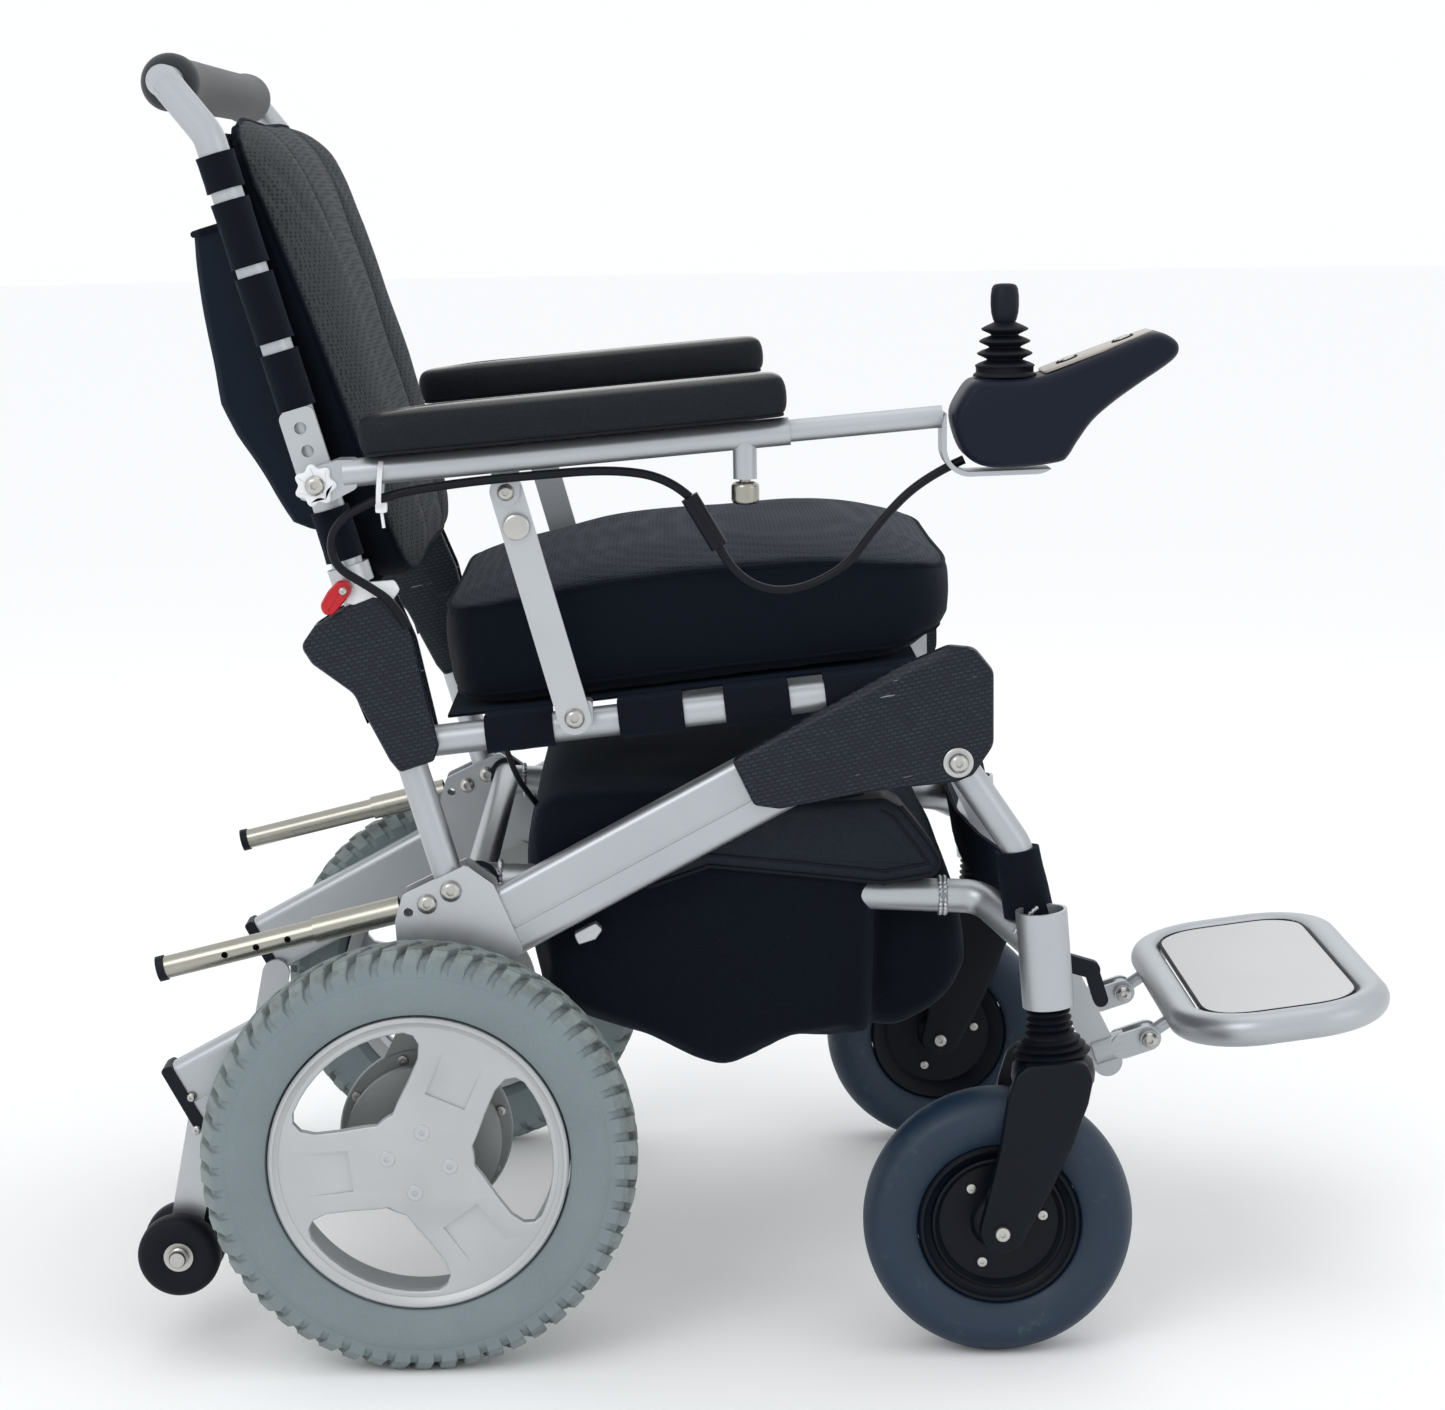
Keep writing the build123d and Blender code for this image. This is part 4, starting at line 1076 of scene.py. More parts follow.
def makeFork(side, c):
    # two swept arms under a rounded crown, a rubber bellows above and the axle through the bottom
    out = -1 if side == "right" else 1
    mid = out * c["across"]
    arm = roundCorners([(444, 226), (488, 228), (492.5, 214), (489, 196), (478, 166), (461, 128),
                        (449, 106), (440, 88),
                        (426, 82), (413, 88), (409, 100), (416, 128), (425, 166), (430, 200), (436, 219)],
                       [10, 10, 10, 12, 30, 30, 20, 14, 16, 14, 14, 20, 30, 20, 8], 4)
    meshes = []
    for face in (-1, 1):
        layers = [(27.6, 1.4), (28.4, 0), (33.6, 0), (35.6, 0.8), (36.8, 2.8), (37.2, 5.2)]
        meshes.append(shell(arm, [(mid + face * y, amount) for y, amount in layers]))
    axis = (at(458, 334) - at(463.5, 262)).normalized()
    foot = at(467.4, 206, mid)
    crown = [(0.01, -7), (26, -6), (30, -2), (31, 4), (29.6, 12), (25, 17), (20, 19), (0.01, 19)]
    crownMesh = lathe(crown, foot, axis, 48)
    for vertex in crownMesh.vertices:      # the crown is an oval, wider across than along
        vertex.co.y = mid / 1000 + (vertex.co.y - mid / 1000) * 1.19
    meshes.append(crownMesh)
    addPiece("casterFork_" + side, joinMeshes("casterFork_" + side, meshes), "forkPlastic", "swivel_" + side,
             "caster_fork_" + side, 34)
    folds = [(0.01, 18)]
    for number in range(3):
        folds += [(28 - number * 3.4, 20 + number * 4.8), (29 - number * 3.4, 21.4 + number * 4.8),
                  (23.6 - number * 3.0, 23.4 + number * 4.8)]
    for number in range(4):
        folds += [(17.6 - number * 0.7, 35 + number * 5.2), (18.2 - number * 0.7, 36.4 + number * 5.2),
                  (14.4 - number * 0.5, 38.4 + number * 5.2)]
    folds += [(14.2, 55.5), (0.01, 55.5)]
    addPiece("casterBellows_" + side, lathe(folds, foot, axis, 48), "bellowsRubber", "swivel_" + side, (), 50)
    axle = [(at(426, 100, mid + face * 37.2), (0, face, 0), 1.15) for face in (-1, 1)]
    screwSet("casterAxle_" + side, axle, "swivel_" + side, "nut")


for wheelSide in ("right", "left"):
    makeCaster(wheelSide, caster)
    makeFork(wheelSide, caster)
print("casters made")

# anti-tip wheels
antiTip = {"radius": 31.0, "bearing": 11.0}


def makeAntiTip(side, t):
    low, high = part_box("anti_tip_wheels_" + side)
    out = -1 if side == "right" else 1
    x, z = (low.x + high.x) / 2, (low.z + high.z) / 2
    meshes = []
    bearings = []
    r = t["radius"]
    for near, far in ((242, 220), (211, 190)):
        middle = Vector((x, out * (near + far) / 2000, z))
        half = (near - far) / 2
        tread = [(t["bearing"], -half + 3), (t["bearing"] + 1, -half + 2.4), (16, -half + 1), (22, -half),
                 (27, -half + 1), (r - 1, -half + 4), (r, -half + 7), (r, half - 7), (r - 1, half - 4),
                 (27, half - 1), (22, half), (16, half - 1), (t["bearing"] + 1, half - 2.4),
                 (t["bearing"], half - 3)]
        meshes.append(lathe(tread, middle, (0, out, 0), 56, looped=True))
        race = [(4, -half + 3.4), (5.4, -half + 2.6), (7, -half + 3.6), (8.4, -half + 3.4),
                (t["bearing"], -half + 3), (t["bearing"], half - 3), (8.4, half - 3.4), (7, half - 3.6),
                (5.4, half - 2.6), (4, half - 3.4)]
        bearings.append(lathe(race, middle, (0, out, 0), 40, looped=True))
    axle = lathe([(0.01, 0), (5.6, 0), (6.4, 1.4), (6.4, 5), (4, 6), (4, 54), (5.2, 54.6), (5.2, 57),
                  (0.01, 58)], Vector((x, out * 0.246, z)), (0, -out, 0), 24)
    addPiece("antiTipTyres_" + side, joinMeshes("antiTipTyres_" + side, meshes), "bellowsRubber",
             "anti_tip_" + side, "anti_tip_wheels_" + side, 45)
    addPiece("antiTipBearings_" + side, joinMeshes("antiTipBearings_" + side, bearings + [axle]),
             "screwSteel", "anti_tip_" + side, (), 40)


for wheelSide in ("right", "left"):
    makeAntiTip(wheelSide, antiTip)

# soft goods
seatRise, seatStart = 5.8, (2.0, 460.0)
backLean, backStart = 106.0, (-14.0, 489.0)


def onSeat(along, above, y):
    return at(*stepFrom(stepFrom(seatStart, seatRise, along), seatRise + 90, above), y)


def onBack(distance, ahead, y):
    return at(*stepFrom(stepFrom(backStart, backLean, distance), backLean - 90, ahead), y)


def between(table, value):
    # reads a line of (place, value) pairs
    for (x0, y0), (x1, y1) in zip(table, table[1:]):
        if value <= x1:
            return y0 + (y1 - y0) * max(0.0, (value - x0) / (x1 - x0))
    return table[-1][1]


def oblong(low, high, halfWidth, corner, count=96, pull=0.0):
    # a rounded rectangle as (along, y) pairs, its sides drawn in a little between the corners
    mid, half = (low + high) / 2, (high - low) / 2
    result = []
    for number in range(count):
        turn = 2 * pi * number / count
        c, s = cos(turn), sin(turn)
        power = 2 / (2 + 60 / max(corner, 4))
        a = (abs(c) ** power) * (1 if c >= 0 else -1)
        b = (abs(s) ** power) * (1 if s >= 0 else -1)
        a *= 1 - pull * (1 - abs(b)) * abs(a) / half
        b *= 1 - pull * (1 - abs(a)) * abs(b) / halfWidth
        result.append((mid + a * half, b * halfWidth))
    return result


def ripple(point, scale, seed=0.0):
    return noise.noise(Vector((point.x * scale + seed, point.y * scale, point.z * scale)))


def puffUp(piece, voxel, cap, pressure, held):
    # fills the cover with air: remesh, cloth under pressure, each point held to a short move
    remesh = piece.modifiers.new("remesh", "REMESH")
    remesh.mode = "VOXEL"
    remesh.voxel_size = voxel / 1000
    settle(piece)
    start = [vertex.co.copy() for vertex in piece.data.vertices]
    pins = piece.vertex_groups.new(name="pins")
    for vertex in piece.data.vertices:
        pins.add([vertex.index], held(vertex.co), "REPLACE")
    cloth = piece.modifiers.new("cloth", "CLOTH")
    cloth.settings.quality = 5
    cloth.settings.mass = 0.3
    cloth.settings.tension_stiffness = 12
    cloth.settings.compression_stiffness = 12
    cloth.settings.bending_stiffness = 0.6
    cloth.settings.use_pressure = True
    cloth.settings.uniform_pressure_force = pressure
    cloth.settings.vertex_group_mass = "pins"
    cloth.settings.effector_weights.gravity = 0
    cloth.point_cache.frame_start = 1
    cloth.point_cache.frame_end = 20
    scene = bpy.context.scene
    for number in range(1, 21):
        scene.frame_set(number)
    deps = bpy.context.evaluated_depsgraph_get()
    moved = [vertex.co.copy() for vertex in piece.evaluated_get(deps).data.vertices]
    piece.modifiers.clear()
    piece.vertex_groups.clear()
    scene.frame_set(1)
    for vertex, old, new in zip(piece.data.vertices, start, moved):
        step = new - old
        if step.length > cap / 1000:
            step = step.normalized() * cap / 1000
        vertex.co = old + step
    return piece


def smoothOnce(piece, times=2, factor=0.5):
    relax = piece.modifiers.new("relax", "SMOOTH")
    relax.iterations = times
    relax.factor = factor
    rounding = piece.modifiers.new("round", "SUBSURF")
    rounding.levels = 1
    rounding.render_levels = 1
    return settle(piece)


def seamTube(name, line, radius, finish, body, surface=None, lift=0.0):
    # piping: a thin cord laid on the cover along a line
    if surface:
        tree = BVHTree.FromObject(surface, bpy.context.evaluated_depsgraph_get())
        line = [hit[0] + hit[1] * (lift / 1000) for hit in (tree.find_nearest(point) for point in line)]
    closed = (line[0] - line[-1]).length < 0.0005
    if closed:
        line = line[:-1]
        rings = []
        count = len(line)
        for number, point in enumerate(line):
            run = (line[(number + 1) % count] - line[number - 1]).normalized()
            up = Vector((0, 1, 0)) if abs(run.y) < 0.9 else Vector((0, 0, 1))
            normal = (up - run * up.dot(run)).normalized()
            other = run.cross(normal)
            rings.append([point + (normal * cos(2 * pi * s / 8) + other * sin(2 * pi * s / 8)) *
                          (radius / 1000) for s in range(8)])
        points = [p for ring in rings for p in ring]
        faces = [(n * 8 + s, n * 8 + (s + 1) % 8, ((n + 1) % count) * 8 + (s + 1) % 8,
                  ((n + 1) % count) * 8 + s) for n in range(count) for s in range(8)]
        mesh = meshFrom(name, points, faces)
    else:
        mesh = tubeAlong(line, radius, 8)
    return addPiece(name, mesh, finish, body, (), 0)


def stitchRow(name, line, body, finish="webbing", pitch=4.2, length=2.8, thickness=0.35):
    mesh = bpy.data.meshes.new(name)
    mesh.from_pydata(line, [(n, n + 1) for n in range(len(line) - 1)], [])
    runTree(name, mesh, "stitches", finish,
            {"Pitch": pitch / 1000, "Length": length / 1000, "Thickness": thickness / 1000}, body)


def markTop(piece, above):
    # writes how far each point lies above the seam, for the cover's two cloths
    mark = piece.data.attributes.new("upper", "FLOAT", "POINT")
    for vertex in piece.data.vertices:
        mark.data[vertex.index].value = smoothStep(-1.2, 1.2, above(vertex.co))


def twoTone(name, top, side, slot):
    # a cover of mesh above the seam and plain cloth below it
    f = Finish(name, slot, Specular_IOR_Level=0.14, Sheen_Weight=0.1, Sheen_Roughness=0.5,
               Sheen_Tint=tint(170, 175, 185))
    upper = f.node("ShaderNodeAttribute", {"attribute_name": "upper"}, out=2)
    holes = f.node("ShaderNodeTexVoronoi", {"feature": "F1"},
                   {"Vector": f.place, "Scale": 330.0, "Randomness": 0.25})
    gaps = 1 - f.step(holes, 0.2, 0.52)
    cloud, fuzz, fold = f.noise(9, 5, 0.6), f.noise(800, 2), f.noise(24, 4)
    thread = weave(f, None, 0.0011)
    meshTone = f.mix(gaps * 0.75, f.mix(cloud * 0.6 + fuzz * 0.4, tint(*[c * 0.8 for c in top]), tint(*top)),
                     tint(*[c * 0.4 for c in top]))
    sideTone = f.mix(thread * 0.5 + cloud * 0.5, tint(*[c * 0.6 for c in side]),
                     tint(*[c * 1.25 for c in side]))
    lint = f.step(f.noise(760, 2), 0.73, 0.8)
    sideTone = f.mix(lint * 0.25, sideTone, tint(90, 98, 110))
    f.feed(Base_Color=f.mix(upper, sideTone, meshTone), Roughness=0.8 + fuzz * 0.14)
    height = (1 - gaps) * upper * 1.5 + thread * (1 - upper) * 0.6
    f.feed(Normal=f.bump(height, 0.0007, 0.6, f.bump(fold, 0.004, 0.3)))
    return f


# seat cushion
seatCushion = {"rear": 24.0, "front": 410.0, "halfWidth": 211.0, "corner": 9.0, "floor": 16.0,
               "seam": [(25, 89), (90, 94), (149, 100), (251, 100), (318, 95), (385, 84), (412, 77)],
               "crown": 13.0}


def makeSeatCushion(c):
    def seam(along):
        return between(c["seam"], along)
    levels = [(0, 14), (6, 5), (16, 1), (40, 0.5), (62, 0), (80, 1), (92, 3)]
    rings = []
    for height, shrink in levels:
        ring = []
        for along, y in oblong(c["rear"] + shrink, c["front"] - shrink, c["halfWidth"] - shrink,
                               c["corner"], 120, 3.0):
            full = seam(along) - c["floor"]
            nose = smoothStep(c["front"] - 60, c["front"], along) * (1 - smoothStep(20, 60, height)) * 16
            ring.append(onSeat(along, c["floor"] + full * height / 92 + nose, y))
        rings.append(ring)
    for shrink, rise in ((7, 0.22), (16, 0.42), (34, 0.66), (64, 0.86), (100, 0.96), (150, 1.0), (200, 1.02)):
        ring = []
        for along, y in oblong(c["rear"] + shrink * 0.85, c["front"] - shrink * 0.85, c["halfWidth"] - shrink,
                               c["corner"] * 1.4, 120):
            dip = 4 * smoothStep(150, 60, along)          # lower where the back cushion meets it
            ring.append(onSeat(along, seam(along) + (c["crown"] - dip) * rise, y))
        rings.append(ring)
    piece = addPiece("seatCushion", loft(rings), "navyFabric", None, (), 0)
    middle = onSeat(200, 0, 0)
    up = (onSeat(200, 10, 0) - middle).normalized()

    def held(co):
        return 1.0 if (co - middle).dot(up) * 1000 < 19 else (0.9 if abs(edgeReach(co)) < 3 else 0.0)

    def edgeReach(co):
        local = co - onSeat(0, 0, 0)
        along = local.dot((onSeat(10, 0, 0) - onSeat(0, 0, 0)).normalized()) * 1000
        above = local.dot(up) * 1000
        return above - seam(along)

    puffUp(piece, 5.5, 9, 3.5, held)
    for vertex in piece.data.vertices:
        reach = edgeReach(vertex.co)
        side = smoothStep(-70, -10, reach) * (1 - smoothStep(-6, 4, reach))
        vertex.co += Vector((0, 0, 1)) * ripple(vertex.co, 16) * 0.0022 * smoothStep(-30, 30, reach)
        vertex.co.y += (1 if vertex.co.y > 0 else -1) * ripple(vertex.co, 13, 9.0) * 0.003 * side
    smoothOnce(piece, 3)
    piece.data.shade_smooth()
    markTop(piece, edgeReach)
    top = twoTone("seatCover", (40, 46, 56), (4, 13, 24), "dark_fabric")
    finishes["seatCover"] = top
    piece.data.materials.clear()
    piece.data.materials.append(top.material)
    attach(piece, "chair_frame")
    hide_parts("seat_cushion")
    line = [onSeat(along, seam(along) + 0.5, y) for along, y in
            oblong(c["rear"] + 3, c["front"] - 3, c["halfWidth"] - 1, c["corner"], 200)]
    piping = seamTube("seatPiping", line + line[:1], 1.7, "webbing", None, piece, 0.6)
    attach(piping, "chair_frame")
    low = [onSeat(along, c["floor"] + 8, y) for along, y in
           oblong(c["rear"] + 3, c["front"] - 3, c["halfWidth"] - 2, c["corner"], 200)]
    welt = seamTube("seatLowerSeam", low + low[:1], 1.3, "webbing", None, piece, 0.3)
    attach(welt, "chair_frame")
    for item in (piece, piping, welt):
        tuple(onSeat(200, c["floor"], 0))
        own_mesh(item)


makeSeatCushion(seatCushion)
print("seat cushion made")

# back cushion
backCushion = {"foot": 78.0, "head": 440.0, "halfWidth": 206.0, "corner": 9.0, "rest": 7.0,
               "seam": [(78, 37), (185, 32), (271, 27), (339, 22), (405, 16), (440, 14)],
               "crown": [(0, 50), (78, 52), (206, 53), (300, 52), (372, 50), (404, 46), (426, 37), (440, 25)]}


def makeBackCushion(c):
    def front(distance, y):
        # sewn channels run up the front: two bolsters and a flatter middle
        reach = abs(y)
        bolster = 5 * (1 - smoothStep(0, 52, abs(reach - 138)))
        middle = 2.5 * (1 - smoothStep(0, 74, reach))
        return between(c["crown"], distance) - 6 + bolster + middle
    rings = []
    for share, shrink in ((0.0, 9), (0.2, 2.5), (0.5, 0), (0.8, 0.5), (1.0, 3)):
        rings.append([onBack(distance, c["rest"] + (between(c["seam"], distance) - c["rest"]) * share, y)
                      for distance, y in oblong(c["foot"] + shrink, c["head"] - shrink,
                                                c["halfWidth"] - shrink, c["corner"], 128, 3.0)])
    for shrink, rise in ((8, 0.45), (16, 0.72), (30, 0.93), (52, 1.0), (80, 1.0), (110, 1.0), (140, 1.0),
                         (170, 1.0)):
        ring = []
        for distance, y in oblong(c["foot"] + shrink * 0.9, c["head"] - shrink * 0.9, c["halfWidth"] - shrink,
                                  c["corner"] * 1.3, 128):
            base = between(c["seam"], distance)
            ring.append(onBack(distance, base + (front(distance, y) - base) * rise, y))
        rings.append(ring)
    piece = addPiece("backCushion", loft(rings), "spacerMesh", None, (), 0)
    ahead = (onBack(0, 10, 0) - onBack(0, 0, 0)).normalized()
    upwards = (onBack(10, 0, 0) - onBack(0, 0, 0)).normalized()
    origin = onBack(0, 0, 0)

    def edgeReach(co):
        return (co - origin).dot(ahead) * 1000 - between(c["seam"], (co - origin).dot(upwards) * 1000)

    def held(co):
        reach = (co - origin).dot(ahead) * 1000
        return 1.0 if reach < 10 else (0.85 if abs(abs(co.y) * 1000 - 84) < 3 and edgeReach(co) > 8 else 0.0)

    puffUp(piece, 5.5, 6, 3.0, held)
    for vertex in piece.data.vertices:
        face = smoothStep(0, 12, edgeReach(vertex.co))
        reachY = abs(vertex.co.y) * 1000
        crease = (1 - smoothStep(0, 9, abs(reachY - 84))) * face
        vertex.co -= ahead * 0.0055 * crease
        vertex.co += ahead * ripple(vertex.co, 14, 3.0) * 0.0025 * face
        vertex.co.y += (1 if vertex.co.y > 0 else -1) * ripple(vertex.co, 15, 5.0) * 0.003 * (1 - face)
    smoothOnce(piece, 2)
    piece.data.shade_smooth()
    markTop(piece, edgeReach)
    cover = twoTone("backCover", (66, 69, 72), (3, 11, 22), "mesh_fabric")
    finishes["backCover"] = cover
    piece.data.materials.clear()
    piece.data.materials.append(cover.material)
    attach(piece, "backrest")
    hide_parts("back_cushion")
    line = [onBack(distance, between(c["seam"], distance), y) for distance, y in
            oblong(c["foot"] + 3, c["head"] - 3, c["halfWidth"] - 1, c["corner"], 200)]
    piping = seamTube("backPiping", line + line[:1], 1.6, "webbing", None, piece, 0.5)
    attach(piping, "backrest")
    for item in (piece, piping):
        tuple(onBack(200, c["rest"], 0))
        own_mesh(item)


makeBackCushion(backCushion)
print("back cushion made")

# fabric sleeves on the tubes
sleeve = {"inner": 12.2, "cloth": 1.7}


def sleeveMesh(placeOn, start, end, y, inward, lift, seed):
    # cloth pulled round a tube and led inwards to the sling
    rings = []
    steps = max(4, int((end - start) / 8))
    out = -1 if y < 0 else 1
    for step in range(steps + 1):
        along = start + (end - start) * step / steps
        ring = []
        outer = []
        inner = []
        for number in range(21):
            turn = radians(62 + (360 - 2 * 62) * number / 20)
            flare = 0.35 if step in (0, steps) else 0.0
            loose = 0.5 * noise.noise(Vector((along * 0.06 + seed, number * 0.5, seed)))
            for radius, side in ((sleeve["inner"] + sleeve["cloth"] + flare + loose, outer),
                                 (sleeve["inner"], inner)):
                side.append((-cos(turn) * radius, sin(turn) * radius))
        # the first direction points inwards, towards the middle of the chair
        tipHigh, tipLow = (inward, lift + sleeve["cloth"]), (inward, lift)
        outline = [tipLow] + [(-a, b) for a, b in reversed(outer)] + [tipHigh]
        for a, b in outline:
            ring.append(placeOn(along, b, y - out * a))
        rings.append(ring)
    return loft(rings)


backSleeves = [(112, 150), (226, 268), (276, 325), (332, 380), (388, 414)]
seatSleeves = [(52, 102), (150, 198), (228, 276), (302, 372)]


def makeSleeves(name, placeOn, spans, body, lift):
    meshes = []
    for side in (-1, 1):
        for number, (start, end) in enumerate(spans):
            meshes.append(sleeveMesh(placeOn, start, end, side * abs(sideY), 22, lift, number * 3.1 + side))
    addPiece(name, joinMeshes(name, meshes), "webbing", body, (), 40)


def gridSheet(name, rows, columns, place):
    # a closed sheet of two layers: place(layer, down, across) gives its points, down and across from 0 to 1
    points = [place(layer, row / rows, column / columns)
              for layer in (0, 1) for row in range(rows + 1) for column in range(columns + 1)]
    size = (rows + 1) * (columns + 1)
    faces = []
    for row in range(rows):
        for column in range(columns):
            first = row * (columns + 1) + column
            quad = (first, first + 1, first + columns + 2, first + columns + 1)
            faces.append(quad)
            faces.append(tuple(size + corner for corner in reversed(quad)))
    edge = list(range(columns + 1))
    edge += [row * (columns + 1) + columns for row in range(1, rows + 1)]
    edge += [rows * (columns + 1) + column for column in range(columns - 1, -1, -1)]
    edge += [row * (columns + 1) for row in range(rows - 1, 0, -1)]
    for number, first in enumerate(edge):
        after = edge[(number + 1) % len(edge)]
        faces.append((first, after, size + after, size + first))
    return meshFrom(name, points, faces)


def slingMesh(placeOn, start, end, halfWidth, level, sag, thickness=2.2):
    # one sheet between the tubes, slack in the middle
    def place(layer, down, across):
        along = start + (end - start) * down
        y = -halfWidth + 2 * halfWidth * across
        slack = sag * (1 - (y / halfWidth) ** 2) * sin(pi * down) ** 0.6
        wrinkle = 0.5 * noise.noise(Vector((along * 0.02, y * 0.02, 4)))
        return placeOn(along, level - slack + thickness * layer + wrinkle, y)
    return gridSheet("sling", 24, 30, place)


seatSheet = addPiece("seatSling", slingMesh(onSeat, 24, 374, 212, 12.2, 1.5), "navyFabric", "chair_frame",
                     "seat_sling", 50)
backSheet = addPiece("backSling", slingMesh(onBack, 80, 428, 213, 4.6, 1.5), "navyFabric", "backrest",
                     "back_sling", 50)
makeSleeves("seatLoops", onSeat, seatSleeves, "chair_frame", 12.4)
makeSleeves("backLoops", onBack, backSleeves, "backrest", 3.4)
for loopSide in (-1, 1):
    for spanStart, spanEnd in backSleeves[1:]:
        rowLine = [onBack(spanStart + 3 + (spanEnd - spanStart - 6) * k / 8, 9.8,
                          loopSide * 218) for k in range(9)]
        stitchRow(f"backLoopStitch_{loopSide + 1}_{spanStart}", rowLine, "backrest", "spacerMesh")

# pocket behind the back
pocket = {"foot": 118.0, "head": 367.0, "halfWidth": 167.0, "edge": 15.0,
          "bulge": [(118, 26), (131, 38), (151, 43), (179, 50), (215, 62), (242, 66), (289, 61), (347, 51),
                    (367, 46)]}


def pocketEdge(p, y):
    # 0 at the pocket's sewn sides and 1 where it is full, rounded between
    edge = min(1.0, (p["halfWidth"] - abs(y)) / p["edge"])
    return sqrt(max(0.0, 1 - (1 - edge) ** 2))


def makePocket(p):
    # an open-topped pouch that hangs slack: fullest in its lower half, drawn in at its seams
    def place(layer, down, across):
        distance = p["foot"] + (p["head"] - p["foot"]) * down
        y = -p["halfWidth"] + 2 * p["halfWidth"] * across
        full = pocketEdge(p, y)
        low = smoothStep(p["foot"] - 1, p["foot"] + 26, distance)
        reach = between(p["bulge"], distance) * (0.1 + 0.9 * full) * (0.25 + 0.75 * low)
        reach += 3 * noise.noise(Vector((distance * 0.016, y * 0.013, 2))) * full - 2.4 * layer
        return onBack(distance, 2.2 - max(reach, 1.0 + (1 - layer) * 1.5), y)
    piece = addPiece("backPocket", gridSheet("backPocket", 30, 40, place), "pocketCloth", "backrest", (), 60)
    hem = []
    for column in range(49):
        y = -p["halfWidth"] + 2 * p["halfWidth"] * column / 48
        reach = between(p["bulge"], p["head"]) * (0.1 + 0.9 * pocketEdge(p, y))
        hem.append(onBack(p["head"], 2.2 - max(reach, 2.0), y))
    seamTube("pocketHem", hem, 2.6, "webbing", "backrest")
    sides = []
    for side in (-1, 1):
        sides.append(tubeAlong([onBack(p["foot"] + (p["head"] - p["foot"]) * k / 12, 0.4,
                                       side * (p["halfWidth"] + 1)) for k in range(13)], 2.2, 8))
    addPiece("pocketSeams", joinMeshes("pocketSeams", sides), "webbing", "backrest", (), 0)


finishes["pocketCloth"] = navyFabric("pocketCloth", "dark_fabric", tint(22, 30, 42), tint(10, 17, 28), 0.0013)
makePocket(pocket)
print("slings and pocket made")

# battery bag
batteryBag = {"halfWidth": 215.0, "noseHalfWidth": 177.0,
              "hull": [(88, 264), (86, 300), (82, 380), (86, 402), (99, 412), (122, 414), (200, 416),
                       (344, 412), (366, 384), (394, 350), (398, 330), (410, 300), (414, 272), (404, 250),
                       (390, 236), (362, 222), (316, 222), (276, 222), (240, 204), (225, 201), (206, 207),
                       (168, 226), (129, 240), (104, 250)],
              "flank": [(88, 264), (86, 300), (82, 380), (86, 402), (99, 412), (122, 414), (200, 416),
                        (338, 412), (340, 330), (338, 224), (276, 222), (240, 204), (225, 201), (206, 207),
                        (168, 226), (129, 240), (104, 250)],
              "lid": [(160, 400), (150, 370), (168, 345), (216, 361), (287, 353), (345, 346), (384, 352),
                      (389, 362), (374, 384), (359, 403), (347, 410)]}


def makeBag(b):
    h, nose = b["halfWidth"], b["noseHalfWidth"]
    edge = ((0, 20), (2.5, 9), (8, 3), (18, 0), (60, 0))
    bodies = []
    for outline, width in ((b["hull"], nose), (b["flank"], h)):
        layers = [(y - width, amount) for y, amount in edge]
        layers += [(width - y, amount) for y, amount in reversed(edge)]
        bodies.append(shell(roundCorners(outline, 10, 3), layers))
    piece = addPiece("batteryBag", joinMeshes("batteryBag", bodies), "bagCloth", None, (), 0)

    def held(co):
        return 1.0 if co.z > 0.386 or abs(co.y) > 0.2135 else 0.0

    puffUp(piece, 6, 5, 2.0, held)
    for vertex in piece.data.vertices:
        co = vertex.co
        out = 1 if co.y > 0 else -1
        face = smoothStep(0.15, 0.2, abs(co.y))
        x, z = (co.x - axleX) * 1000, co.z * 1000
        belly = sin(pi * min(max((x - 90) / 300, 0), 1)) * sin(pi * min(max((z - 215) / 160, 0), 1))
        co.y += out * face * (0.0015 * belly + 0.0015 * ripple(co, 11, 2.0) + 0.0008 * ripple(co, 34, 6.0))
        co.z += 0.003 * ripple(co, 12, 8.0) * (1 - face)
    smoothOnce(piece, 3)
    piece.data.shade_smooth()
    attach(piece, "chair_frame")
    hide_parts("battery_bag")
    lids = []
    outline = roundCorners(b["lid"], 9, 3)
    for side in (-1, 1):
        lids.append(shell(outline, [(side * (h - 44), 0), (side * (h + 2.0), 0), (side * (h + 4.2), 2.4),
                                    (side * (h + 4.8), 7)]))
    lid = addPiece("bagLid", joinMeshes("bagLid", lids), "lidCloth", "chair_frame", (), 40)
    for side in (-1, 1):
        for number, (gap, radius) in enumerate(((0, 2.0), (9, 1.1))):
            line = [at(x, z, side * (h + (3.0 if not number else 4.9))) for x, z in inset(outline, gap)]
            line = [point for point in line if point.z < 0.4035]
            start = max(range(len(line)), key=lambda k: (line[k] - line[k - 1]).length)
            line = line[start:] + line[:start]
            seamTube(f"bagPiping_{side + 1}_{number}", smoothPath(line, 2), radius, "bellowsRubber",
                     "chair_frame")


finishes["lidCloth"] = leatherette("lidCloth", "dark_fabric", (20, 30, 40), (8, 15, 24))
makeBag(batteryBag)
print("battery bag made")

# calf strap
calfStrap = {"thickness": 2.6}


